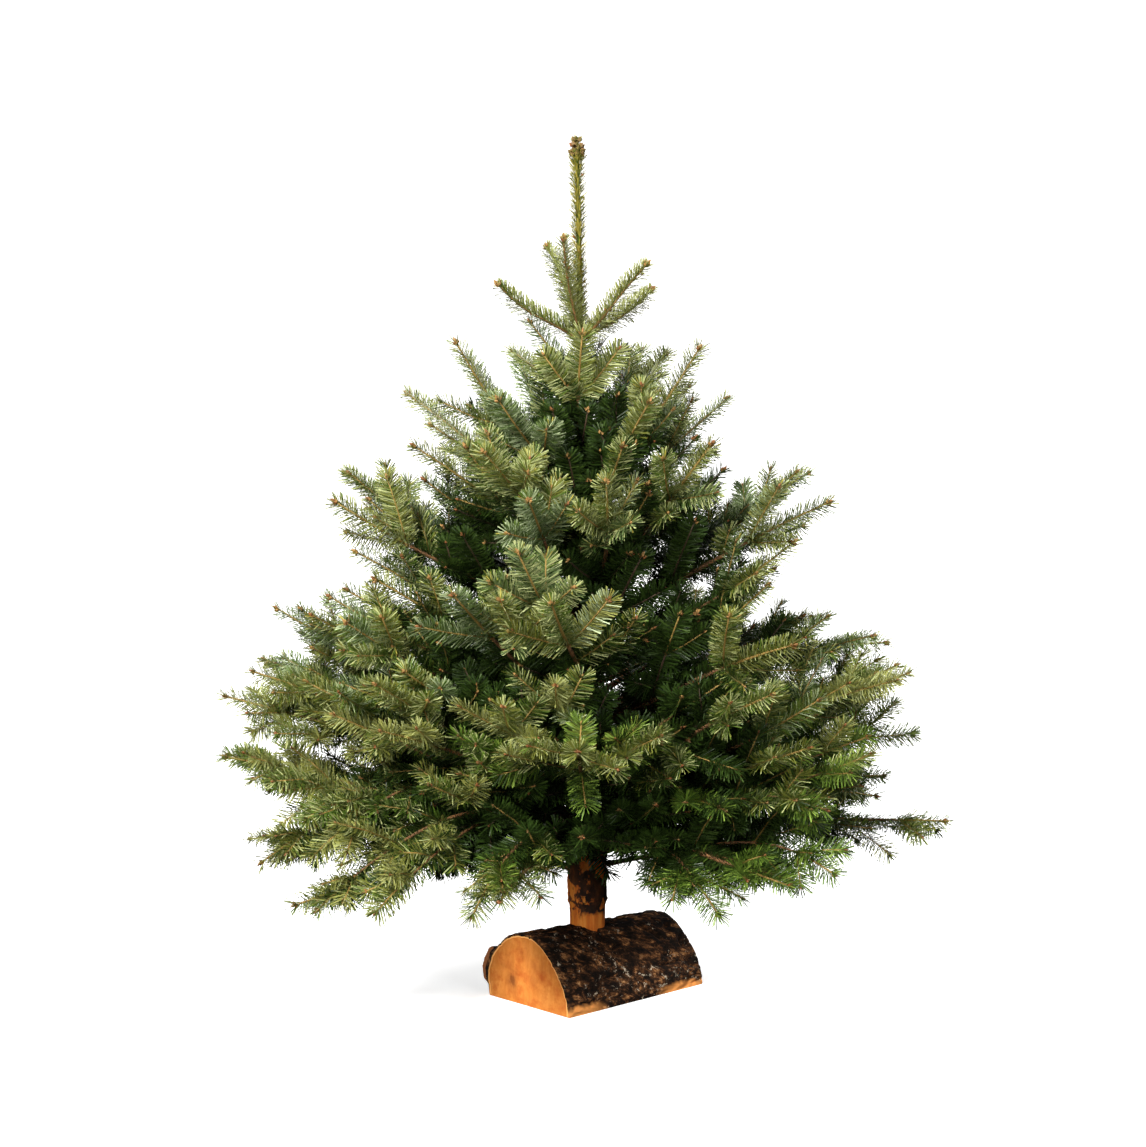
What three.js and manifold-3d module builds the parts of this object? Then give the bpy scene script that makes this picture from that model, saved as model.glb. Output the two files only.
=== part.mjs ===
// Cut fir tree standing in a half-log foot.
// Millimetres, +Z up. The origin is the middle of the log's flat underside, so
// the tree stands on the plane z = 0. Compass angles are measured from +X
// towards +Y, in degrees.
import * as THREE from 'three';
import { mergeVertices } from 'three/addons/utils/BufferGeometryUtils.js';
import Module from 'manifold-3d';

const wasm = await Module();
wasm.setup();

// ---------------------------------------------------------------- dimensions
const TREE_TOP = 1250;            // height of the leader's tip
const GAP = 0.35;                 // clearance between neighbouring solids

// half-log foot
const LOG_LENGTH = 272;
const LOG_WIDTH = 170;
const LOG_HEIGHT = 99;
const LOG_YAW = 43;               // direction of the log's length
const LOG_ROUND_LEFT = 2.5;       // superellipse powers of the two shoulders
const LOG_ROUND_RIGHT = 1.6;
const LOG_FLANK = 0.08;           // swell of the flanks above the sawn underside
const LOG_SECTION_STEPS = 14;
const LOG_STATIONS = 6;

// trunk
const TRUNK_FOOT_Z = 52;          // flat cut, seated in the log
const TRUNK_FOOT_X = -14.8;
const TRUNK_TIP_X = -31;
const TRUNK_TIP_Z = 1242;
const TRUNK_SIDES = 10;
// height, radius: whittled tenon, butt, taper up to the top whorl, leader
const TRUNK_PROFILE = [
  [TRUNK_FOOT_Z, 25.6], [104, 25.9], [124, 26.6], [140, 28.6], [165, 29.0], [270, 25.2],
  [385, 21.8], [530, 17.2], [690, 12.6], [830, 8.9], [950, 6.4], [965, 4.6],
  [1100, 3.6], [TRUNK_TIP_Z, 1.9],
];
const TRUNK_BOW = 2.2;            // sideways waver of the stem

// leader foliage
const LEADER_FROM = 960;
const LEADER_RADIUS = 13.5;

// Boughs. Each row: name, compass angle, reach from the trunk, rise of the tip
// above the root of the bough, starting slope, half width of its foliage, its
// thickness above the centre line, the share of the bough that is a bare limb
// (0 = the foliage begins at the trunk), and where needed the lift of its root
// above the whorl and its own hang. Hang is how far the foliage reaches below
// the centre line, as a multiple of the thickness above it.
const TIERS = [
  { name: 'whorl1', z: 950, hang: 1, rows: [
    ['left', 190, 120, 77, 22, 19, 13, 0],
    ['front', 252, 77, 132, 52, 19, 13, 0],
    ['back', 112, 133, 161, 46, 19, 13, 0],
    ['right', 328, 110, 99, 34, 20, 13, 0],
    ['right_back', 20, 112, 80, 26, 19, 13, 0],
  ] },
  { name: 'whorl2', z: 690, hang: 1.7, rows: [
    ['right_front', 335, 184, 236, 46, 66, 22, 0.36],
    ['right', 15, 226, 180, 34, 74, 23, 0],
    ['right_back', 62, 208, 270, 48, 76, 24, 0],
    ['back', 118, 207, 262, 46, 78, 24, 0],
    ['left_back', 163, 272, 190, 30, 82, 25, 0, 0, 2.5],
    ['left_front', 208, 198, 243, 46, 76, 24, 0],
    ['front', 271, 120, 172, 46, 66, 20, 0, 80],
  ] },
  { name: 'whorl3', z: 530, hang: 2.3, rows: [
    ['right', 345, 356, 178, 26, 96, 24, 0.36, 0, 2.8],
    ['right_back', 20, 369, 233, 28, 96, 31, 0, 0, 1.9],
    ['back_right', 68, 335, 205, 30, 100, 26, 0, 0, 1.7],
    ['back_left', 118, 335, 205, 30, 100, 26, 0, 0, 1.7],
    ['left_back', 165, 372, 231, 28, 96, 26, 0],
    ['left', 192, 358, 180, 22, 92, 26, 0, 0, 2.8],
    ['left_front', 238, 243, 265, 42, 88, 25, 0, 0, 1.6],
    ['front', 277, 240, 199, 34, 88, 24, 0.34, 0, 1.4],
    ['right_front', 318, 236, 225, 40, 88, 25, 0, 30, 1.6],
  ] },
  { name: 'whorl4', z: 385, hang: 1.9, rows: [
    ['right', 8, 455, 120, 20, 116, 26, 0.30],
    ['back_right', 42, 458, 148, 22, 124, 29, 0],
    ['back', 95, 405, 155, 22, 122, 29, 0, 0, 1.5],
    ['back_left', 140, 418, 160, 22, 118, 29, 0, 0, 1.5],
    ['left', 183, 446, 172, 20, 122, 36, 0, 0, 1.2],
    ['left_front', 238, 325, 195, 30, 100, 28, 0.34, 0, 1.5],
    ['front', 262, 325, 185, 28, 90, 28, 0, 0, 1.5],
    ['right_front', 322, 348, 128, 22, 116, 28, 0, 0, 1.4],
  ] },
  { name: 'whorl5', z: 275, hang: 1.9, rows: [
    ['right', 350, 459, 192, 24, 122, 29, 0],
    ['right_back', 22, 500, 140, 20, 128, 31, 0, 0, 2.5],
    ['back_right', 65, 442, 140, 20, 132, 30, 0, 0, 1.5],
    ['back', 108, 436, 140, 20, 132, 30, 0, 0, 1.5],
    ['left_back', 158, 545, 190, 20, 138, 32, 0],
    ['left', 189, 517, 160, 18, 124, 32, 0.32],
    ['left_front', 226, 385, 130, 20, 122, 34, 0, 0, 1.5],
    ['front', 268, 415, 118, 20, 126, 31, 0, 0, 1.2],
    ['right_front', 312, 357, 176, 26, 116, 30, 0.34, 0, 1.5],
  ] },
  { name: 'whorl6', z: 200, hang: 1.2, rows: [
    ['right', 356, 517, 52, 14, 110, 27, 0.34],
    ['right_back', 30, 510, 84, 14, 134, 32, 0],
    ['back_right', 75, 446, 30, 13, 130, 29, 0, 0, 1],
    ['back_left', 120, 450, 20, 13, 130, 29, 0, 0, 1],
    ['left_back', 169, 522, 4, 10, 130, 32, 0.32, 0, 1.8],
    ['left', 199, 521, 140, 16, 112, 32, 0, 20],
    ['left_front', 214, 462, -24, 10, 110, 29, 0],
    ['front', 253, 380, 2, 9, 112, 27, 0, 0, 0.9],
    ['right_front', 311, 392, 8, 10, 118, 27, 0.34, 0, 0.9],
  ] },
];

const MASS_STATIONS = 8;          // sections along a foliage mass
const MASS_SIDES = 8;             // corners of each section
const FINGER = 0.17;              // how far side shoots stand out of the outline
const LIMB_SIDES = 7;
const LIMB_STATIONS = 5;

// ------------------------------------------------------------------- helpers
const rad = (deg) => (deg * Math.PI) / 180;
const clamp = (v, a, b) => Math.min(b, Math.max(a, v));

// repeatable value between -1 and 1 from two whole numbers
function waver(i, j) {
  const s = Math.sin(i * 127.1 + j * 311.7) * 43758.5453;
  return 2 * (s - Math.floor(s)) - 1;
}

function trunkX(z) {
  const t = (z - TRUNK_FOOT_Z) / (TRUNK_TIP_Z - TRUNK_FOOT_Z);
  return TRUNK_FOOT_X + (TRUNK_TIP_X - TRUNK_FOOT_X) * t
    + TRUNK_BOW * Math.sin(t * 9.4) * Math.sin(Math.PI * t);
}
function trunkY(z) {
  const t = (z - TRUNK_FOOT_Z) / (TRUNK_TIP_Z - TRUNK_FOOT_Z);
  return TRUNK_BOW * Math.sin(t * 7.1 + 0.6) * Math.sin(Math.PI * t);
}
function trunkRadius(z) {
  for (let i = 1; i < TRUNK_PROFILE.length; i++) {
    const [z1, r1] = TRUNK_PROFILE[i];
    if (z <= z1) {
      const [z0, r0] = TRUNK_PROFILE[i - 1];
      return r0 + ((r1 - r0) * (z - z0)) / (z1 - z0);
    }
  }
  return TRUNK_PROFILE[TRUNK_PROFILE.length - 1][1];
}

// closed body through rings of equal corner count, flat at both ends
function loft(rings) {
  const n = rings[0].length;
  const pos = [];
  const idx = [];
  for (const ring of rings) for (const p of ring) pos.push(p.x, p.y, p.z);
  for (let i = 0; i + 1 < rings.length; i++) {
    for (let k = 0; k < n; k++) {
      const a = i * n + k;
      const b = i * n + ((k + 1) % n);
      const c = a + n;
      const d = b + n;
      if ((i + k) % 2) idx.push(a, b, d, a, d, c);
      else idx.push(a, b, c, b, d, c);
    }
  }
  const last = (rings.length - 1) * n;
  for (let k = 1; k + 1 < n; k++) {
    idx.push(0, k + 1, k);
    idx.push(last, last + k, last + k + 1);
  }
  const g = new THREE.BufferGeometry();
  g.setAttribute('position', new THREE.Float32BufferAttribute(pos, 3));
  g.setIndex(idx);
  return volumeOf(g) < 0 ? flipped(g) : g;
}

function volumeOf(g) {
  const p = g.attributes.position;
  const ix = g.index.array;
  const a = new THREE.Vector3();
  const b = new THREE.Vector3();
  const c = new THREE.Vector3();
  let v = 0;
  for (let i = 0; i < ix.length; i += 3) {
    a.fromBufferAttribute(p, ix[i]);
    b.fromBufferAttribute(p, ix[i + 1]);
    c.fromBufferAttribute(p, ix[i + 2]);
    v += a.dot(b.cross(c)) / 6;
  }
  return v;
}

function flipped(g) {
  const ix = Array.from(g.index.array);
  for (let i = 0; i < ix.length; i += 3) [ix[i + 1], ix[i + 2]] = [ix[i + 2], ix[i + 1]];
  g.setIndex(ix);
  return g;
}

function solid(g) {
  const plain = g.clone();
  plain.deleteAttribute('normal');
  plain.deleteAttribute('uv');
  const m = mergeVertices(plain, 1e-4);
  return new wasm.Manifold(new wasm.Mesh({
    numProp: 3,
    vertProperties: new Float32Array(m.attributes.position.array),
    triVerts: new Uint32Array(m.index.array),
  }));
}

// a manifold result as a geometry, keeping only its largest body
function geometryOf(man) {
  const mesh = man.getMesh();
  const g = new THREE.BufferGeometry();
  g.setAttribute('position', new THREE.Float32BufferAttribute(mesh.vertProperties.slice(), 3));
  g.setIndex(Array.from(mesh.triVerts));
  const merged = mergeVertices(g, 2e-3);
  const ix = merged.index.array;
  const root = Array.from({ length: merged.attributes.position.count }, (_, i) => i);
  const find = (i) => {
    while (root[i] !== i) { root[i] = root[root[i]]; i = root[i]; }
    return i;
  };
  for (let i = 0; i < ix.length; i += 3) {
    root[find(ix[i + 1])] = find(ix[i]);
    root[find(ix[i + 2])] = find(ix[i]);
  }
  const groups = new Map();
  for (let i = 0; i < ix.length; i += 3) {
    if (ix[i] === ix[i + 1] || ix[i + 1] === ix[i + 2] || ix[i] === ix[i + 2]) continue;
    const r = find(ix[i]);
    if (!groups.has(r)) groups.set(r, []);
    groups.get(r).push(ix[i], ix[i + 1], ix[i + 2]);
  }
  let best = null;
  for (const list of groups.values()) {
    const part = new THREE.BufferGeometry();
    part.setAttribute('position', merged.attributes.position);
    part.setIndex(list);
    const v = volumeOf(part);
    if (!best || v > best.v) best = { v, part };
  }
  const used = new Map();
  const pos = [];
  const out = [];
  const p = merged.attributes.position;
  for (const i of best.part.index.array) {
    if (!used.has(i)) {
      used.set(i, used.size);
      pos.push(p.getX(i), p.getY(i), p.getZ(i));
    }
    out.push(used.get(i));
  }
  const clean = new THREE.BufferGeometry();
  clean.setAttribute('position', new THREE.Float32BufferAttribute(pos, 3));
  clean.setIndex(out);
  return clean;
}

const boxOf = (g) => {
  g.computeBoundingBox();
  return g.boundingBox.clone();
};

// --------------------------------------------------------------------- trunk
function trunkGeometry(grow) {
  const rings = TRUNK_PROFILE.map(([z, r], i) => {
    const ring = [];
    const last = i === TRUNK_PROFILE.length - 1;
    for (let k = 0; k < TRUNK_SIDES; k++) {
      const a = (2 * Math.PI * k) / TRUNK_SIDES;
      const uneven = z > 100 && z < 900 ? 1 + 0.025 * waver(i, k) : 1;
      const rr = r * uneven + grow;
      const zz = z + (i === 0 ? -grow : last ? grow : 0);
      ring.push(new THREE.Vector3(trunkX(z) + rr * Math.cos(a), trunkY(z) + rr * Math.sin(a), zz));
    }
    return ring;
  });
  return loft(rings);
}

// ----------------------------------------------------------------- log foot
function logGeometry() {
  const along = new THREE.Vector3(Math.cos(rad(LOG_YAW)), Math.sin(rad(LOG_YAW)), 0);
  const across = new THREE.Vector3(along.y, -along.x, 0);
  const rings = [];
  for (let s = 0; s < LOG_STATIONS; s++) {
    const t = s / (LOG_STATIONS - 1);
    const x = (t - 0.5) * LOG_LENGTH;
    const ends = s === 0 || s === LOG_STATIONS - 1;
    const ring = [];
    for (let k = 0; k <= LOG_SECTION_STEPS; k++) {
      const a = Math.PI * (1 - k / LOG_SECTION_STEPS);
      const p = Math.cos(a) < 0 ? LOG_ROUND_LEFT : LOG_ROUND_RIGHT;
      const c = Math.sign(Math.cos(a)) * Math.abs(Math.cos(a)) ** (2 / p);
      const h = Math.sin(a) < 1e-9 ? 0 : Math.sin(a) ** (2 / p);
      const lump = 1 + (k === 0 || k === LOG_SECTION_STEPS ? 0 : 0.018 * waver(s + 11, k));
      const bulge = 1 - (ends ? 0.01 : 0) - 0.03 * t;
      const flank = 1 + (c < 0 ? LOG_FLANK : 0.4 * LOG_FLANK) * Math.sin(Math.PI * Math.min(1, 1.25 * h));
      const pt = new THREE.Vector3()
        .addScaledVector(along, x)
        .addScaledVector(across, 0.5 * LOG_WIDTH * c * lump * bulge * flank);
      pt.z = LOG_HEIGHT * h * lump * bulge;
      ring.push(pt);
    }
    rings.push(ring);
  }
  return loft(rings);
}

// -------------------------------------------------------------------- boughs
// The centre line of a bough: it leaves the trunk at its starting slope and
// bends to its tip.
function boughCurve(z, azimuth, reach, rise, slope) {
  const out = new THREE.Vector3(Math.cos(rad(azimuth)), Math.sin(rad(azimuth)), 0);
  const root = new THREE.Vector3(trunkX(z), trunkY(z), z);
  const mid = root.clone().addScaledVector(out, reach * 0.5);
  mid.z += reach * 0.5 * Math.tan(rad(slope));
  const tip = root.clone().addScaledVector(out, reach);
  tip.z += rise;
  return new THREE.QuadraticBezierCurve3(root, mid, tip);
}

function frameAt(curve, t, azimuth) {
  const point = curve.getPoint(t);
  const tangent = curve.getTangent(t).normalize();
  const side = new THREE.Vector3(Math.sin(rad(azimuth)), -Math.cos(rad(azimuth)), 0);
  const up = new THREE.Vector3().crossVectors(side, tangent).normalize();
  return { point, tangent, side, up };
}

// tapering limb from the trunk to where its foliage begins
function limbGeometry(bough, grow) {
  const rings = [];
  const far = bough.bare;
  for (let s = 0; s < LIMB_STATIONS; s++) {
    const t = (far * s) / (LIMB_STATIONS - 1);
    const f = frameAt(bough.curve, t, bough.azimuth);
    const r = bough.limbRadius * (1 - 0.45 * (t / far)) + grow;
    if (s === LIMB_STATIONS - 1) f.point.addScaledVector(f.tangent, grow - GAP);
    const ring = [];
    for (let k = 0; k < LIMB_SIDES; k++) {
      const a = (2 * Math.PI * k) / LIMB_SIDES;
      ring.push(f.point.clone()
        .addScaledVector(f.side, r * Math.cos(a))
        .addScaledVector(f.up, r * Math.sin(a)));
    }
    rings.push(ring);
  }
  return loft(rings);
}

// Outline of a foliage mass along its bough, 0 at its start to 1 at its tip:
// it opens quickly, is widest past the middle, and narrows to the leading shoot.
function envelope(t) {
  return Math.max(0.1, Math.sin(Math.PI * clamp(t, 0, 1) ** 0.85) ** 0.72 * (0.72 + 0.36 * t));
}

function massGeometry(bough, grow) {
  const rings = [];
  const t0 = bough.bare > 0 ? bough.bare : (trunkRadius(bough.curve.v0.z) + 2) / bough.reach;
  for (let s = 0; s < MASS_STATIONS; s++) {
    const share = s / (MASS_STATIONS - 1);
    const t = t0 + (1 - t0) * share;
    const f = frameAt(bough.curve, t, bough.azimuth);
    if (s === 0) f.point.addScaledVector(f.tangent, -grow);
    if (s === MASS_STATIONS - 1) f.point.addScaledVector(f.tangent, grow);
    const env = envelope(0.04 + 0.96 * share);
    const end = s === MASS_STATIONS - 1;
    // side shoots stand out in fingers, left and right by turns
    const wave = (side) => 1 + FINGER * ((s + side) % 2 ? 1 : -1) * (s > 0 ? 1 : 0)
      + 0.12 * waver(bough.seed + side * 17, s);
    const reachHere = bough.reach * t;
    let left = bough.width * env * wave(1);
    let right = bough.width * env * wave(0);
    if (bough.plain) { left = right = bough.width * (end ? 0.35 : 0.75 + 0.25 * Math.sin(Math.PI * share)); }
    left = Math.max(4, Math.min(left, reachHere * Math.tan(rad(bough.roomLeft)) - 0.6));
    right = Math.max(4, Math.min(right, reachHere * Math.tan(rad(bough.roomRight)) - 0.6));
    const thick = bough.thick * (bough.plain ? (end ? 0.35 : 1) : (0.45 + 0.55 * env)) * (end ? 0.6 : 1);
    const most = Math.max(left, right) * 1.2;
    const top = Math.min(thick * (1 + 0.2 * waver(bough.seed, s + 40)), most);
    const low = Math.min(thick * (end ? 1 : bough.hang) * (1 + 0.2 * waver(bough.seed, s + 70)), most);
    const ring = [];
    for (let k = 0; k < MASS_SIDES; k++) {
      const a = (2 * Math.PI * (k + 0.5)) / MASS_SIDES;
      const c = Math.cos(a);
      const h = Math.sin(a);
      const w = (c > 0 ? right : left) + grow;
      const v = (h > 0 ? top : low) + grow;
      ring.push(f.point.clone()
        .addScaledVector(f.side, (w * c) / Math.cos(Math.PI / MASS_SIDES))
        .addScaledVector(f.up, v * h));
    }
    rings.push(ring);
  }
  return loft(rings);
}

// ---------------------------------------------------------------- all boughs
const boughs = [];
TIERS.forEach((tier, ti) => {
  const order = tier.rows.map((r) => r[1]).sort((a, b) => a - b);
  tier.rows.forEach(([name, azimuth, reach, rise, slope, width, thick, bare, lift = 0, hang = tier.hang], bi) => {
    const at = order.indexOf(azimuth);
    const next = order[(at + 1) % order.length] + (at + 1 === order.length ? 360 : 0);
    const prev = order[(at + order.length - 1) % order.length] - (at === 0 ? 360 : 0);
    const z = tier.z + lift;
    boughs.push({
      name: `${tier.name}_${name}`,
      azimuth, reach, rise, width, thick, bare, hang,
      plain: ti === 0,
      curve: boughCurve(z, azimuth, reach, rise, slope),
      roomLeft: Math.min(62, (next - azimuth) / 2),
      roomRight: Math.min(62, (azimuth - prev) / 2),
      limbRadius: 4.2 + reach * 0.0098,
      seed: ti * 23 + bi * 7 + 3,
    });
  });
});

const trunkRaw = trunkGeometry(0);
const trunkSolid = solid(trunkRaw);
const trunkRoom = solid(trunkGeometry(GAP));

const limbs = boughs.filter((b) => b.bare > 0).map((b) => ({
  bough: b,
  body: solid(limbGeometry(b, 0)).subtract(trunkRoom),
  room: solid(limbGeometry(b, GAP)),
}));

// foliage: later masses give way to earlier ones, so a mass is never shared
const masses = [];
for (const b of boughs) {
  const raw = massGeometry(b, 0);
  const box = boxOf(raw);
  let body = solid(raw).subtract(trunkRoom);
  for (const limb of limbs) if (limb.bough !== b) body = body.subtract(limb.room);
  for (const other of masses) {
    if (other.box.intersectsBox(box)) body = body.subtract(other.room);
  }
  masses.push({
    bough: b,
    box: box.expandByScalar(2),
    body,
    room: solid(massGeometry(b, GAP)),
  });
}

// leader foliage: a slim sleeve round the stem above the top whorl
function leaderGeometry() {
  const rings = [];
  const steps = 6;
  for (let s = 0; s <= steps; s++) {
    const t = s / steps;
    const z = LEADER_FROM + (TREE_TOP - LEADER_FROM) * t;
    const r = LEADER_RADIUS * (s === steps ? 0.55 : 0.86 + 0.14 * waver(5, s))
      * (s === 0 ? 0.75 : 1);
    const ring = [];
    for (let k = 0; k < 6; k++) {
      const a = (2 * Math.PI * k) / 6;
      ring.push(new THREE.Vector3(trunkX(z) + r * Math.cos(a), trunkY(z) + r * Math.sin(a), z));
    }
    rings.push(ring);
  }
  return loft(rings);
}
let leader = solid(leaderGeometry()).subtract(trunkRoom);
for (const m of masses) leader = leader.subtract(m.room);

const log = solid(logGeometry()).subtract(trunkRoom);

// --------------------------------------------------------------------- group
const barkMaterial = () => new THREE.MeshStandardMaterial({ color: 0x4a3220, roughness: 0.9, metalness: 0 });
const limbMaterial = () => new THREE.MeshStandardMaterial({ color: 0x6a4a2c, roughness: 0.85, metalness: 0 });
const logMaterial = () => new THREE.MeshStandardMaterial({ color: 0x3d2a1c, roughness: 0.92, metalness: 0 });
const leafMaterial = (i) => new THREE.MeshStandardMaterial({
  color: new THREE.Color().setHSL(0.24 + 0.02 * waver(i, 1), 0.28, 0.26 + 0.03 * waver(i, 2)),
  roughness: 0.6,
  metalness: 0,
});

const tree = new THREE.Group();
function add(name, geometry, material) {
  const mesh = new THREE.Mesh(geometry, material);
  mesh.name = name;
  tree.add(mesh);
}
add('stand_log', geometryOf(log), logMaterial());
add('trunk', geometryOf(trunkSolid), barkMaterial());
add('foliage_leader', geometryOf(leader), leafMaterial(1));
for (const limb of limbs) add(`bough_${limb.bough.name}`, geometryOf(limb.body), limbMaterial());
masses.forEach((m, i) => add(`foliage_${m.bough.name}`, geometryOf(m.body), leafMaterial(i + 2)));

export default tree;
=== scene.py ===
"""Looks of a cut fir tree standing in a half-log foot.

Everything is in metres, +Z up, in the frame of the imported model. Boughs grow
from the trunk by a seeded branching rule; twigs, buds and needles are joined
meshes.
"""
import math

import bpy
import numpy as np
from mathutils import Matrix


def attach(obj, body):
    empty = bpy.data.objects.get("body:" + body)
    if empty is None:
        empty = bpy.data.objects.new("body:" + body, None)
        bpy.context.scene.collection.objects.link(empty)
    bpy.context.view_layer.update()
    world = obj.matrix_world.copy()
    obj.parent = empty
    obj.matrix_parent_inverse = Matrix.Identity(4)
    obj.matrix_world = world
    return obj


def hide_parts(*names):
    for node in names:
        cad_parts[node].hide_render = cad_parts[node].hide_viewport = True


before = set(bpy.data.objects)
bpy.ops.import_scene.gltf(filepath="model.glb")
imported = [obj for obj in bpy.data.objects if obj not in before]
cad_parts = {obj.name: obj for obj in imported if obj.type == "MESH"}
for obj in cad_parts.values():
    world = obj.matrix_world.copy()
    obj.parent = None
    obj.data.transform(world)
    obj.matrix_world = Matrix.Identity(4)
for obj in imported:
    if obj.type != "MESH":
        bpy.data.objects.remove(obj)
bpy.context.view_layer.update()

# --------------------------------------------------------------- camera, stage
CAMERA_AT = (-0.0366, -2.382, 0.609)
FOCAL_PX = 1627.0
FRAME_PX = 1147.0


def camera():
    data = bpy.data.cameras.new("camera")
    data.sensor_width = 36.0
    data.sensor_fit = "AUTO"
    data.lens = FOCAL_PX / FRAME_PX * 36.0
    data.clip_start = 0.05
    data.clip_end = 60.0
    cam = bpy.data.objects.new("camera", data)
    cam.location = CAMERA_AT
    cam.rotation_euler = (math.pi / 2, 0.0, 0.0)
    bpy.context.scene.collection.objects.link(cam)
    bpy.context.scene.camera = cam
    return cam


camera()

# ------------------------------------------------------------ shared dimensions
TREE_TOP = 1.250
TRUNK_FOOT_Z, TRUNK_TIP_Z = 0.052, 1.242
TRUNK_FOOT_X, TRUNK_TIP_X = -0.0148, -0.031
TRUNK_BOW = 0.0022
TRUNK_PROFILE = np.array([
    [0.052, 25.6], [0.104, 25.9], [0.124, 26.6], [0.140, 28.6], [0.165, 29.0], [0.270, 25.2],
    [0.385, 21.8], [0.530, 17.2], [0.690, 12.6], [0.830, 8.9], [0.950, 6.4], [0.965, 4.6],
    [1.100, 3.6], [1.242, 1.9]])

LOG_LENGTH, LOG_WIDTH, LOG_HEIGHT = 0.272, 0.170, 0.099
LOG_YAW = math.radians(43)
LOG_ROUND_LEFT, LOG_ROUND_RIGHT = 2.5, 1.6
LOG_FLANK = 0.08
KNOT = (0.0, -0.034, -0.030)

# Whorls: name, height, and for each bough: name, compass angle, reach, rise,
# starting slope, half width of the fan, bare share, lift of the root. mm, deg.
WHORLS = [
    ("whorl1", 950, [
        ("left", 190, 120, 77, 22, 19, 0, 0),
        ("front", 252, 77, 132, 52, 19, 0, 0),
        ("back", 112, 133, 161, 46, 19, 0, 0),
        ("right", 328, 110, 99, 34, 20, 0, 0),
        ("right_back", 20, 112, 80, 26, 19, 0, 0)]),
    ("whorl2", 690, [
        ("right_front", 335, 184, 236, 46, 66, .36, 0),
        ("right", 15, 226, 180, 34, 74, 0, 0),
        ("right_back", 62, 208, 270, 48, 76, 0, 0),
        ("back", 118, 207, 262, 46, 78, 0, 0),
        ("left_back", 163, 272, 190, 30, 82, 0, 0),
        ("left_front", 208, 198, 243, 46, 76, 0, 0),
        ("front", 271, 120, 172, 46, 66, 0, 80)]),
    ("whorl3", 530, [
        ("right", 345, 356, 178, 26, 96, .36, 0),
        ("right_back", 20, 369, 233, 28, 96, 0, 0),
        ("back_right", 68, 335, 205, 30, 100, 0, 0),
        ("back_left", 118, 335, 205, 30, 100, 0, 0),
        ("left_back", 165, 372, 231, 28, 96, 0, 0),
        ("left", 192, 358, 180, 22, 92, 0, 0),
        ("left_front", 238, 243, 265, 42, 88, 0, 0),
        ("front", 277, 240, 199, 34, 88, .34, 0),
        ("right_front", 318, 236, 225, 40, 88, 0, 30)]),
    ("whorl4", 385, [
        ("right", 8, 455, 120, 20, 116, .30, 0),
        ("back_right", 42, 458, 148, 22, 124, 0, 0),
        ("back", 95, 405, 155, 22, 122, 0, 0),
        ("back_left", 140, 418, 160, 22, 118, 0, 0),
        ("left", 183, 446, 172, 20, 122, 0, 0),
        ("left_front", 238, 325, 195, 30, 100, .34, 0),
        ("front", 262, 325, 185, 28, 90, 0, 0),
        ("right_front", 322, 348, 128, 22, 116, 0, 0)]),
    ("whorl5", 275, [
        ("right", 350, 459, 192, 24, 122, 0, 0),
        ("right_back", 22, 500, 140, 20, 128, 0, 0),
        ("back_right", 65, 442, 140, 20, 132, 0, 0),
        ("back", 108, 436, 140, 20, 132, 0, 0),
        ("left_back", 158, 545, 190, 20, 138, 0, 0),
        ("left", 189, 517, 160, 18, 124, .32, 0),
        ("left_front", 226, 385, 130, 20, 122, 0, 0),
        ("front", 268, 415, 118, 20, 126, 0, 0),
        ("right_front", 312, 357, 176, 26, 116, .34, 0)]),
    ("whorl6", 200, [
        ("right", 356, 517, 52, 14, 92, .34, 0),
        ("right_back", 30, 510, 84, 14, 134, 0, 0),
        ("back_right", 75, 446, 30, 13, 130, 0, 0),
        ("back_left", 120, 450, 20, 13, 130, 0, 0),
        ("left_back", 169, 522, 4, 10, 130, .32, 0),
        ("left", 199, 521, 140, 16, 112, 0, 20),
        ("left_front", 214, 462, -24, 22, 110, 0, 0),
        ("front", 253, 380, 2, 15, 112, 0, 0),
        ("right_front", 311, 392, 8, 18, 118, .34, 0)]),
]

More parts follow.
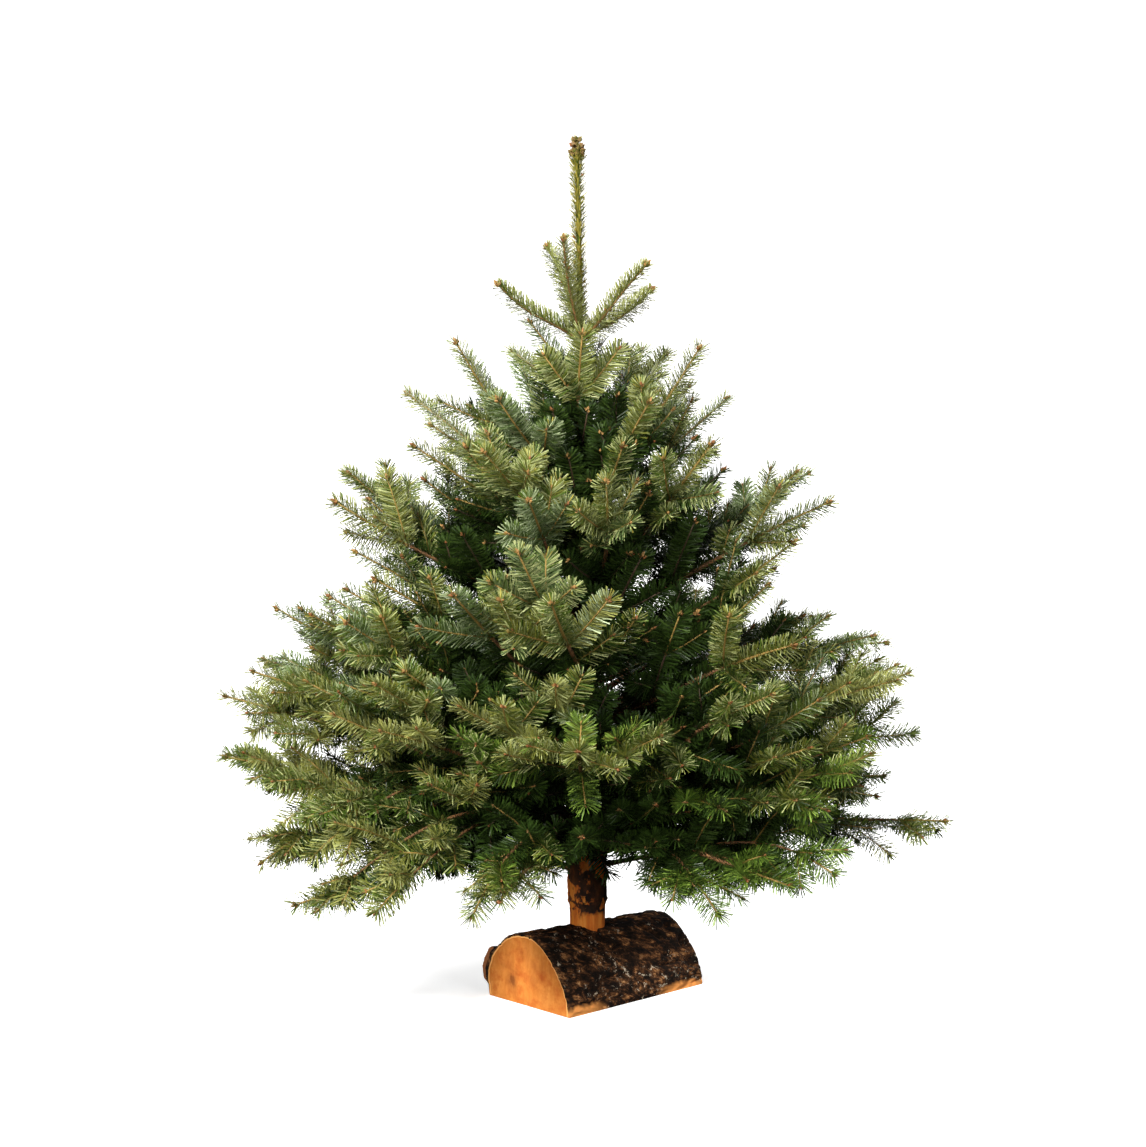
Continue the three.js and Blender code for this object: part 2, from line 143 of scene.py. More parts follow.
# Smaller boughs that grow between the whorls and fill the crown:
# whorl whose foliage they belong to, root height, angle, reach, rise, half width of the fan,
# and a starting slope for those that arch over.
BETWEEN = [
    (1, 890, 195, 75, 83, 24), (1, 870, 345, 62, 64, 22), (1, 865, 140, 132, 80, 30), (1, 780, 38, 165, 163, 40),
    (1, 720, 48, 255, 182, 46), (1, 905, 60, 58, 44, 22), (1, 800, 96, 120, 110, 36), (1, 850, 105, 96, 84, 34),
    (1, 735, 142, 180, 130, 44), (1, 760, 118, 140, 110, 40), (1, 830, 240, 84, 74, 32), (1, 775, 300, 104, 84, 40),
    (1, 745, 190, 160, 104, 42), (1, 740, 250, 118, 96, 44), (1, 730, 330, 150, 110, 44), (1, 715, 75, 170, 130, 46),
    (2, 560, 256, 291, 143, 50), (2, 560, 300, 178, 157, 50), (2, 640, 290, 164, 143, 46), (2, 600, 242, 274, 168, 48), (3, 470, 296, 178, 162, 54), (2, 520, 282, 144, 159, 50),
    (1, 700, 236, 201, 145, 42), (1, 690, 305, 163, 155, 42), (3, 455, 250, 321, 119, 56),
    (1, 830, 282, 70, 78, 34), (1, 790, 256, 88, 84, 36), (1, 760, 276, 96, 78, 40), (1, 725, 290, 112, 84, 42),
    (1, 700, 262, 104, 60, 42), (2, 640, 282, 120, 80, 46), (2, 560, 268, 140, 70, 50), (2, 545, 292, 170, 90, 52),
    (2, 640, 188, 242, 152, 50), (2, 600, 202, 238, 140, 50), (2, 640, 345, 167, 161, 50), (2, 590, 352, 205, 167, 56),
    (2, 600, 228, 235, 180, 50), (2, 570, 222, 205, 195, 52), (2, 600, 255, 160, 130, 50), (2, 590, 300, 177, 140, 50),
    (2, 650, 262, 128, 120, 46), (2, 660, 305, 130, 130, 46), (2, 620, 44, 250, 130, 58), (2, 620, 92, 230, 135, 60),
    (2, 615, 140, 250, 130, 58), (2, 575, 25, 270, 130, 58), (2, 570, 72, 250, 130, 60), (2, 575, 118, 250, 130, 60),
    (2, 570, 162, 270, 130, 58),
    (3, 500, 182, 311, 215, 60), (3, 450, 190, 330, 189, 64), (3, 430, 205, 318, 170, 64), (3, 430, 186, 344, 154, 64),
    (3, 400, 203, 380, 176, 66), (3, 370, 214, 385, 173, 66), (3, 460, 340, 310, 192, 62), (3, 440, 350, 273, 174, 60),
    (3, 420, 330, 288, 172, 62), (3, 400, 20, 370, 141, 66), (3, 420, 253, 300, 215, 56), (3, 450, 285, 215, 90, 56),
    (3, 470, 236, 235, 120, 58), (3, 460, 312, 225, 95, 56), (3, 462, 32, 300, 120, 66), (3, 470, 76, 270, 120, 66),
    (3, 468, 124, 280, 120, 66), (3, 430, 54, 320, 110, 68), (3, 425, 102, 300, 110, 68), (3, 430, 150, 330, 110, 68),
    (4, 330, 226, 345, 150, 66), (4, 290, 226, 396, 176, 68), (4, 290, 252, 350, 150, 66), (4, 335, 262, 300, 130, 62),
    (4, 320, 240, 256, 120, 62), (4, 350, 175, 415, 165, 68), (4, 320, 168, 470, 160, 70), (4, 280, 190, 478, 190, 70),
    (4, 330, 5, 435, 150, 68), (4, 300, 358, 450, 175, 68), (4, 260, 15, 492, 148, 72), (4, 320, 318, 248, 140, 60),
    (4, 285, 305, 235, 100, 60), (4, 270, 288, 300, 120, 62), (4, 300, 275, 190, 110, 58), (4, 290, 205, 420, 172, 66),
    (4, 255, 212, 400, 165, 66), (4, 265, 330, 360, 172, 64), (4, 245, 325, 360, 130, 62), (4, 335, 200, 360, 120, 66),
    (4, 330, 44, 360, 110, 72), (4, 330, 88, 330, 110, 72), (4, 330, 128, 350, 110, 72), (4, 300, 26, 400, 100, 72),
    (4, 295, 68, 350, 100, 72), (4, 300, 110, 350, 100, 72), (4, 300, 150, 390, 100, 72),
    (5, 195, 205, 450, 122, 70), (5, 185, 185, 458, 112, 70), (5, 230, 195, 512, 128, 70), (5, 172, 165, 490, -2, 74),
    (5, 215, 204, 480, 6, 54, 34), (5, 205, 219, 450, -30, 56, 36), (5, 200, 230, 420, -20, 56, 34),
    (5, 200, 247, 375, -20, 58, 32), (5, 190, 298, 350, -16, 62, 32), (5, 235, 212, 430, 0, 54, 40),
    (5, 235, 345, 405, 145, 68), (5, 225, 334, 425, 140, 66), (5, 192, 22, 505, 95, 74), (5, 190, 348, 415, 105, 68),
    (5, 210, 325, 385, 85, 66), (5, 178, 324, 400, 34, 66),
    (5, 235, 266, 200, 80, 56), (5, 205, 268, 262, 60, 58), (5, 225, 232, 335, 108, 62), (5, 245, 244, 320, 120, 60),
    (5, 220, 290, 258, 84, 58), (5, 215, 305, 310, 84, 60), (5, 235, 50, 380, 60, 76),
    (5, 232, 96, 350, 60, 76), (5, 235, 140, 380, 56, 76), (5, 200, 32, 430, 40, 76), (5, 200, 76, 370, 30, 76),
    (5, 205, 120, 370, 30, 76), (5, 200, 156, 430, 30, 76),
]

UP = np.array([0.0, 0.0, 1.0])


def unit(v):
    return v / np.maximum(np.linalg.norm(v, axis=-1, keepdims=True), 1e-12)


def trunk_at(z):
    t = (np.asarray(z, float) - TRUNK_FOOT_Z) / (TRUNK_TIP_Z - TRUNK_FOOT_Z)
    bow = np.sin(np.pi * t)
    x = TRUNK_FOOT_X + (TRUNK_TIP_X - TRUNK_FOOT_X) * t + TRUNK_BOW * np.sin(t * 9.4) * bow
    y = TRUNK_BOW * np.sin(t * 7.1 + 0.6) * bow
    return np.stack([x, y, np.asarray(z, float)], axis=-1)


def trunk_radius(z):
    return np.interp(z, TRUNK_PROFILE[:, 0], TRUNK_PROFILE[:, 1]) / 1000.0


# ------------------------------------------------------------------- branching
NEEDLE = 0.0245         # length of a full needle
NEEDLE_WIDTH = 0.00152
DENSITY = [28.4, 23.6, 13.5, 4.5, 1.4, 0.4]         # needles per centimetre, by age of the shoot
YEAR = {0: .14, 1: .140, 2: .122, 3: .112, 4: .103, 5: .090}    # a leading shoot's yearly growth, by whorl

# reach of the crown by height, for telling outer shoots from inner ones
CROWN = np.array([[0.15, .50], [0.22, .53], [0.32, .51], [0.42, .47], [0.55, .41], [0.70, .33], [0.83, .21],
                  [0.91, .085], [1.00, .07], [1.25, .07]])

shoots = []
main_axes = []
collars = []


def outwardness(q):
    """0 at the trunk, 1 at the crown's surface."""
    axis = trunk_at(q[2])
    dx, dy = q[0] - axis[0], q[1] - axis[1]
    r = math.hypot(dx, dy)
    # the front of the crown is shallower than its sides
    return float(r / (np.interp(q[2], CROWN[:, 0], CROWN[:, 1]) * (1 - 0.32 * max(0.0, -dy / max(r, 1e-6)))))



def bezier(p0, p1, p2, n):
    t = np.linspace(0, 1, n)[:, None]
    return (1 - t) ** 2 * p0 + 2 * t * (1 - t) * p1 + t ** 2 * p2


def arc(points):
    return np.concatenate([[0], np.cumsum(np.linalg.norm(np.diff(points, axis=0), axis=1))])


def along(points, s, at):
    return np.stack([np.interp(at, s, points[:, k]) for k in range(3)], axis=-1)


def roll(normal, tangent, angle):
    """normal turned about tangent."""
    side = np.cross(tangent, normal)
    return math.cos(angle) * normal + math.sin(angle) * side


_sprays = [0]


def new_spray():
    _sprays[0] += 1
    return _sprays[0]


def grow(points, normal, order, ctx, rng, r0, limit, bare=0.0, spray=None, limb=0):
    """Splits an axis into yearly shoots and sends out its side shoots."""
    s = arc(points)
    total = s[-1]
    years = max(1, int(round(total / (ctx["year"] * (1.0 if order == 0 else 0.86)))))
    shares = np.array([1.0 + 0.10 * (years - 1 - i) for i in range(years)]) * rng.uniform(0.93, 1.07, years)
    ends = np.concatenate([[0], np.cumsum(shares) / shares.sum()]) * total
    r_tip = 0.0010 if order else 0.0012
    inner = max(bare, 0.07 if order == 0 else 0.0)
    if limb and years > 1:
        # the wood older than a year is part of the limbs
        n = 21
        r_end = r0 + (r_tip - r0) * (ends[-2] / total)
        main_axes.append((along(points, s, np.linspace(0, ends[-2], n)), normal, r0, r_end, limb))
    for i in range(years):
        a, b = ends[i], ends[i + 1]
        seg = along(points, s, np.linspace(a, b, 4 if order < 2 else 3))
        age = years - 1 - i
        ra = r0 + (r_tip - r0) * (a / total)
        rb = r0 + (r_tip - r0) * (b / total)
        covered = float(np.clip((b / total - inner) / max((b - a) / total, 1e-6), 0, 1)) if inner else 1.0
        shoots.append(dict(p=seg, up=normal, r0=ra, r1=rb, age=age, kind="fan", order=order, whorl=ctx["whorl"],
                           bough=ctx["bough"], spray=spray, tip=(age == 0), cover=covered,
                           wood=bool(limb) and age > 0))
        if order >= 3 or age == 0:
            continue
        if order == 0:
            tg = unit(along(points, s, b) - along(points, s, b - 2e-3))
            collars.append((along(points, s, b), tg, rb + 0.0007))
        tangent = unit(along(points, s, min(b + 1e-3, total)) - along(points, s, b - 1e-3))
        node = along(points, s, b)
        rest = total - b
        for side in (1, -1):
            if order == 0:
                ratio = {1: 0.90, 2: 0.80}.get(age, 0.70)
            else:
                ratio = {1: 0.80}.get(age, 0.66)
            angle = math.radians(rng.normal(47 if order == 0 else 44, 4.5))
            length = min(ratio * rest * rng.uniform(0.86, 1.12), limit * rng.uniform(0.85, 1.1) / math.sin(angle))
            if length > 0.034:
                side_shoot(node, tangent, normal, side, angle, length, order, ctx, spray, rng, limit, rb)
        if order == 0:
            for _ in range(int(rng.random() < 0.9)):
                length = min(0.72 * rest, 0.115) * rng.uniform(0.7, 1.05)
                if length > 0.03:
                    below = -1 if rng.random() < 0.62 else 1
                    side_shoot(node, tangent, normal, 1, math.radians(rng.normal(50, 5)), length, 1, ctx, None,
                               rng, limit, rb, over=below * math.pi / 2 + rng.normal(0, 0.5))
        # shoots between the nodes
        if order < 2 and covered > 0.3:
            count = rng.poisson((b - a) * ctx["infill"] * (1.0 if order == 0 else 0.32))
            for _ in range(count):
                at = rng.uniform(a + 0.10 * (b - a), b - 0.16 * (b - a))
                if at / total < inner + 0.04:
                    continue
                tg = unit(along(points, s, at + 1e-3) - along(points, s, at - 1e-3))
                longest = 0.078 if age == 1 else 0.105
                length = min(rng.uniform(0.038, longest), 0.66 * (total - at))
                if length < 0.034:
                    continue
                side = rng.choice([-1, 1])
                side_shoot(along(points, s, at), tg, normal, side, math.radians(rng.normal(55, 6)), length,
                           max(order, 1), ctx, None, rng, limit, rb, over=side * rng.normal(-0.15, 0.55))


def side_shoot(node, tangent, normal, side, angle, length, order, ctx, spray, rng, limit, rb, over=0.0):
    lift = ctx["lift"]
    n0 = roll(normal, tangent, over + rng.normal(0, 0.16))
    across = np.cross(tangent, n0) * side
    d = unit(math.cos(angle) * tangent + math.sin(angle) * across + rng.normal(lift * 0.2, 0.11) * normal)
    lift += rng.normal(0, 0.08)
    t = np.linspace(0, 1, 9)[:, None]
    slack = rng.normal(0.004, 0.010)
    for attempt in range(6):
        bend = 0.20 * tangent + UP * lift * 0.6
        pts = node + length * (d * t + bend * t * t * 0.5)
        pts = node + (pts - node) * (length / arc(pts)[-1])
        # shoots end above the crown's lower edge: shorter or less drooping there
        if min(pts[-1][2] - skirt(pts[-1]), pts[5][2] - skirt(pts[5])) > slack:
            break
        if attempt % 2:
            lift += 0.25
            d = unit(d + 0.10 * UP)
        else:
            length *= 0.74
    else:
        return
    if length < 0.030:
        return
    nn = unit(normal - np.dot(normal, d) * d)
    nn = roll(nn, d, rng.normal(0, 0.22))
    grow(pts, nn, order + 1, ctx, rng, max(0.0010, min(rb * 0.85, 0.0009 + 0.0055 * length)), limit * 0.55,
         0.0, new_spray() if spray is None else spray)


# lower edge of the crown, as the height of its hem on an upright plane 0.3 m in front of the trunk
HEM = np.array([[-.45, .300], [-.40, .215], [-.385, .190], [-.355, .177], [-.30, .190], [-.27, .183], [-.24, .206],
                [-.19, .225], [-.165, .200], [-.135, .168], [-.105, .195], [-.075, .212], [-.04, .228], [-.01, .238],
                [.035, .232], [.060, .208], [.105, .203], [.165, .174], [.190, .205], [.235, .188], [.258, .216],
                [.275, .250], [.33, .262], [.45, .244], [.55, .240]])


def skirt(q):
    """Lowest height that foliage reaches at a place."""
    depth = 2.382 + q[1]
    across = (q[0] + 0.0366) / depth * 2.082 - 0.0366
    z = float(np.interp(across, HEM[:, 0], HEM[:, 1]))
    z = 0.609 - (0.609 - z) * depth / 2.082
    return max(z, 0.168) if q[1] < 0.15 else 0.168


LIFT = {0: .30, 1: .26, 2: .20, 3: .12, 4: .02, 5: -.34}
INFILL = {0: 0, 1: 34, 2: 26, 3: 19, 4: 14, 5: 12}      # shoots per metre between the nodes


def bough_points(z, azimuth, reach, rise, slope, rng, n=25):
    a = math.radians(azimuth)
    out = np.array([math.cos(a), math.sin(a), 0.0])
    root = trunk_at(z)
    mid = root + out * reach * 0.5 + UP * reach * 0.5 * math.tan(math.radians(slope))
    tip = root + out * reach + UP * rise
    pts = bezier(root, mid, tip, n)
    side = np.array([out[1], -out[0], 0.0])
    t = np.linspace(0, 1, n)[:, None]
    sway = rng.normal(0, 0.012) * np.sin(np.pi * t) + rng.normal(0, 0.006) * np.sin(2 * np.pi * t)
    nod = rng.normal(0, 0.006) * np.sin(2 * np.pi * t)
    pts = pts + side * sway * reach / 0.4 + UP * nod * reach / 0.4
    up = unit(np.cross(side, unit(pts[-1] - pts[0])))
    return pts, up


def grow_tree():
    for w, (wname, z, rows) in enumerate(WHORLS):
        for b, (name, azimuth, reach, rise, slope, width, bare, liftz) in enumerate(rows):
            rng = np.random.default_rng(1000 * (w + 1) + 37 * b)
            pts, up = bough_points((z + liftz) / 1000, azimuth, reach / 1000, rise / 1000, slope, rng)
            r0 = (0, 3.8, 5.8, 6.6, 7.2, 7.2)[w] / 1000
            ctx = dict(whorl=w, bough=f"foliage_{wname}_{name}", lift=LIFT[w], infill=INFILL[w], year=YEAR[w])
            if w == 0:
                seg = along(pts, arc(pts), np.linspace(0.010, arc(pts)[-1], 7))
                shoots.append(dict(p=seg, up=up, r0=0.0021, r1=0.0013, age=0, kind="brush", order=0,
                                   whorl=w, bough=ctx["bough"], spray=new_spray(), tip=True, cover=1.0, wood=False))
                main_axes.append((pts[:4], up, 0.0030, 0.0026, 8))
            else:
                up = roll(up, unit(pts[-1] - pts[0]), rng.normal(0, 0.26))
                grow(pts, up, 0, ctx, rng, r0, width / 1000, bare, new_spray(), limb=8)
    for k, (w, z, azimuth, reach, rise, width, *arch) in enumerate(BETWEEN):
        rng = np.random.default_rng(7000 + 13 * k)
        elevation = math.degrees(math.atan2(rise, reach))
        slope = arch[0] if arch else elevation - 5 if z > 215 else elevation + (18 if reach > 300 else 8)
        pts, up = bough_points(z / 1000, azimuth, reach / 1000, rise / 1000, slope, rng)
        r0 = (1.8 + reach * 0.0058) / 1000
        ctx = dict(whorl=w, bough=f"between_{k}", lift=LIFT[w] if w < 5 or rise < 75 else 0.06, infill=INFILL[w] * (0.8 if w == 1 else 0.6), year=YEAR[w])
        up = roll(up, unit(pts[-1] - pts[0]), rng.normal(0, 0.30))
        grow(pts, up, 0 if reach > 150 else 1, ctx, rng, r0, width / 1000, 0.22 if reach > 150 else 0.1, new_spray(),
             limb=6)
    # the leader
    zs = np.linspace(0.962, TRUNK_TIP_Z, 12)
    shoots.append(dict(p=trunk_at(zs), up=np.array([0.0, -1.0, 0.0]), r0=0.0036, r1=0.0019, age=0,
                       kind="leader", order=0, whorl=0, bough="foliage_leader", spray=new_spray(),
                       tip=True, cover=1.0, wood=False))


grow_tree()

# --------------------------------------------------------------------- colours
def srgb(r, g, b):
    def lin(c):
        c /= 255.0
        return c / 12.92 if c <= 0.04045 else ((c + 0.055) / 1.055) ** 2.4
    return (lin(r), lin(g), lin(b), 1.0)


# deep, dark, shade and night are dark greens painted as shade on needles inside the crown and on older needles
UPPER = {
    "olive": srgb(98, 102, 40), "mid": srgb(72, 92, 30), "fresh": srgb(74, 98, 30),
    "light": srgb(126, 128, 66), "blue": srgb(84, 101, 57), "deep": srgb(34, 52, 12),
    "dark": srgb(20, 33, 7), "leader": srgb(148, 137, 58),
}
LOWER = {"sage": srgb(144, 150, 98), "haze": srgb(141, 153, 115), "leaf": srgb(110, 132, 52),
         "shade": srgb(52, 70, 24), "night": srgb(28, 42, 12)}
SHADES = list(UPPER) + list(LOWER)


def needle_material(name, colour):
    m = bpy.data.materials.new("needle_" + name)
    m.use_nodes = True
    b = m.node_tree.nodes["Principled BSDF"]
    b.inputs["Base Color"].default_value = colour
    b.inputs["Roughness"].default_value = 0.46
    b.inputs["Specular IOR Level"].default_value = 0.32
    m.diffuse_color = colour
    return m


needle_materials = [needle_material(n, UPPER.get(n) or LOWER.get(n)) for n in SHADES]


def spray_shades(shoot, rng):
    """Upper and lower shade of a spray, from where it sits in the crown."""
    x, y, z = shoot["p"].mean(axis=0)
    u = rng.random()
    right = (x - 0.02) / 0.3
    if shoot["kind"] == "leader":
        return "leader", "leader"
    left = (-x - 0.05) / 0.4
    if shoot["kind"] == "brush":
        return "light" if u < 0.6 else "olive", "sage"
    if z > 0.50:
        up = "olive" if u < 0.38 else "mid" if u < 0.52 else "blue" if u < 0.88 else "light"
        low = "sage" if u < 0.66 else "haze"
    elif z > 0.40 or left > 0.25:
        # painted light: the further left a spray sits, where the key light falls, the likelier it takes the light
        # shade, less so low down; further right more sprays take the darker mid green in place of olive
        light = (0.20 + 0.44 * min(max(left, 0), 1)) * (0.72 if z < 0.26 else 1) if z < 0.40 else 0.11
        if u < light:
            up = "light"
        else:
            up = "olive" if u < 0.54 - 0.22 * min(max(right, 0), 1) else "mid" if u < 0.88 else "blue" if z > 0.40 else "fresh"
        low = "sage" if u < 0.8 or z < 0.40 else "haze"
    else:
        fresh = 0.42 if z > 0.28 or right < -0.2 else 0.64
        up = "fresh" if u < fresh else "mid" if u < 0.74 else "olive" if u < 0.93 else "light"
        low = "leaf" if u < fresh + 0.2 else "sage"
    return up, low


# --------------------------------------------------------------------- needles
def needles_of(shoot, rng):
    p = shoot["p"]
    s = arc(p)
    length = s[-1]
    kind, age = shoot["kind"], shoot["age"]
    density = DENSITY[min(age, 5)] * shoot["cover"]
    if kind == "fan":
        # foliage thins out where no light gets in
        q = p[len(p) // 2]
        front = q[1] < -0.02
        density *= float(np.interp(outwardness(q), [0.28, 0.52] if front else [0.34, 0.68], [0.34, 1.0]))
        if q[1] > 0.12:
            density *= 0.93
        if shoot["whorl"] <= 2 and age == 0 and q[1] < 0.12:
            density *= 1.16
        if shoot["whorl"] >= 5:
            density *= float(np.interp(math.hypot(q[0], q[1]), [0.22, 0.34], [1.0, 0.86]))
    if kind == "leader":
        density = 70.0
    elif kind == "brush":
        density = 46.0
    n = int(round(density * length * 100))
    if n < 2:
        return None
    t = (np.arange(n) + rng.random(n)) / n
    if shoot["cover"] < 1:
        t = 1 - (1 - t) * shoot["cover"]
    extra = 0
    if age == 0:
        # a rosette of needles round the end bud
        extra = {"leader": 60, "brush": 10}.get(kind, 14 if shoot["order"] < 2 else 11)
        t = np.concatenate([t, 1 - rng.uniform(0, 0.004, extra) / length])
        n += extra
    if kind == "leader":
        # few needles on the last centimetres, where the buds crowd
        early = np.arange(n) < n - extra
        t = np.where((t > 0.91) & early,
                     0.91 - 1.6 * (t - 0.91) * (rng.random(n) < 0.55) + (t - 0.91) * (rng.random(n) < 0.5), t)
    at = t * length
    base = along(p, s, at)
    tangent = unit(along(p, s, np.minimum(at + 2e-3, length)) - along(p, s, np.maximum(at - 2e-3, 0)))
    up = shoot["up"][None, :] - (tangent @ shoot["up"])[:, None] * tangent
    up = unit(up)
    side = np.cross(tangent, up)
    r = np.interp(t, [0, 1], [shoot["r0"], shoot["r1"]])
    u = rng.random(n)
    # needles leave the shoot in a spiral
    spiral = (np.arange(n) * 137.508 + rng.uniform(0, 360)) % 360
    if kind == "leader":
        phi = np.radians(spiral)
        alpha = np.radians(rng.normal(45, 10, n))
        size = rng.uniform(0.50, 0.76, n)
    elif kind == "brush":
        phi = np.radians(-80 + spiral * 340 / 360 + rng.normal(0, 4, n))
        alpha = np.radians(rng.normal(58, 4, n))
        size = rng.uniform(0.84, 0.96, n)
    else:
        # most needles stand in two ranks; on high boughs and end shoots they stand all round
        w = 0.70 if shoot["whorl"] < 2 else 0.50 if shoot["whorl"] < 3 else 0.34 if shoot["whorl"] < 5 else 0.22
        if shoot["order"] == 0 and age == 0:
            w = 0.78
        w = max(w, float(np.interp(-unit(p[-1] - p[0])[1], [0.35, 0.75], [0.0, 0.72])))
        around = -58 + spiral * 296 / 360
        ranks = np.where(spiral < 180, -4 + (spiral - 90) * 64 / 180, 184 + (spiral - 270) * 64 / 180)
        phi = np.radians(w * around + (1 - w) * ranks + rng.normal(0, 5, n))
        on_top = np.sin(phi) > 0.6
        alpha = np.radians(np.where(on_top, rng.normal(53, 4.5, n), rng.normal(60, 4.5, n)))
        size = np.where(on_top, rng.uniform(0.80, 0.92, n), rng.uniform(0.90, 1.02, n))
        if age >= 2:
            alpha += np.radians(7)
    if age == 0:
        close = np.clip((at - (length - 0.012)) / 0.012, 0, 1)
        alpha = alpha * (1 - 0.42 * close)
        size = size * (1 - 0.12 * close)
        if extra:
            phi[-extra:] = rng.uniform(0, 2 * math.pi, extra)
            alpha[-extra:] = np.radians(rng.uniform(10, 56, extra))
            size[-extra:] = rng.uniform(0.55, 0.78, extra)
            if kind == "leader":
                size[-extra:] *= 0.60
                alpha[-extra:] += np.radians(18)
    if kind != "leader":
        size = size * np.clip(0.74 + at / 0.010, 0, 1)
    radial = np.cos(phi)[:, None] * side + np.sin(phi)[:, None] * up
    d = np.cos(alpha)[:, None] * tangent + np.sin(alpha)[:, None] * radial
    face = up + 0.25 * radial
    if kind in ("leader", "brush"):
        face = 0.6 * UP + 0.4 * tangent + 0.3 * up
    face = unit(face - np.sum(face * d, axis=1)[:, None] * d)
    tw = rng.normal(0, 0.30, n)[:, None]
    wide = np.cross(d, face)
    face, wide = np.cos(tw) * face + np.sin(tw) * wide, np.cos(tw) * wide - np.sin(tw) * face
    if kind == "leader":
        wide = wide * 0.80
    elif kind == "brush":
        # shorter towards the tip
        size = size * np.interp(length - at, [0, 0.045], [0.66, 1.0])
        wide = wide * 0.92
    if kind == "fan":
        # fewer and broader where the crown is dark
        wide = wide * float(np.interp(outwardness(p[len(p) // 2]), [0.40, 0.60], [1.40, 1.0]))
    turn = rng.normal(0, 0.32, n)[:, None]
    return base + radial * r[:, None] * 0.8, d, np.cos(turn) * wide + np.sin(turn) * face, wide, NEEDLE * size


def needle_mesh(parts):
    """Vertices, triangles and shade index of the needles: blunt narrow blades with a slight twist."""
    base, d, far, wide, size, one, two = (np.concatenate([q[i] for q in parts]) for i in range(7))
    size = size[:, None]
    n = len(base)
    half = NEEDLE_WIDTH / 2
    v = np.empty((n, 4, 3))
    v[:, 0] = base - wide * half * 0.80
    v[:, 1] = base + wide * half * 0.80 + d * size * 0.03
    v[:, 2] = base + d * size + far * half * 0.72
    v[:, 3] = base + d * size * 0.95 - far * half * 0.95
    tri = np.array([[0, 1, 2], [0, 2, 3]])
    f = (np.arange(n) * 4)[:, None, None] + tri[None]
    shade = np.stack([one, two], axis=1)
    return v.reshape(-1, 3), f.reshape(-1, 3), shade.reshape(-1)


def mesh_object(name, verts, tris, materials, index=None, smooth=False):
    me = bpy.data.meshes.new(name)
    me.vertices.add(len(verts))
    me.vertices.foreach_set("co", np.ascontiguousarray(verts, np.float32).ravel())
    me.loops.add(3 * len(tris))
    me.loops.foreach_set("vertex_index", np.ascontiguousarray(tris, np.int32).ravel())
    me.polygons.add(len(tris))
    me.polygons.foreach_set("loop_start", np.arange(len(tris), dtype=np.int32) * 3)
    for m in materials:
        me.materials.append(m)
    if index is not None:
        me.polygons.foreach_set("material_index", np.ascontiguousarray(index, np.int32))
    me.polygons.foreach_set("use_smooth", np.full(len(tris), smooth))
    me.update(calc_edges=True)
    o = bpy.data.objects.new(name, me)
    bpy.context.scene.collection.objects.link(o)
    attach(o, "root")
    return o


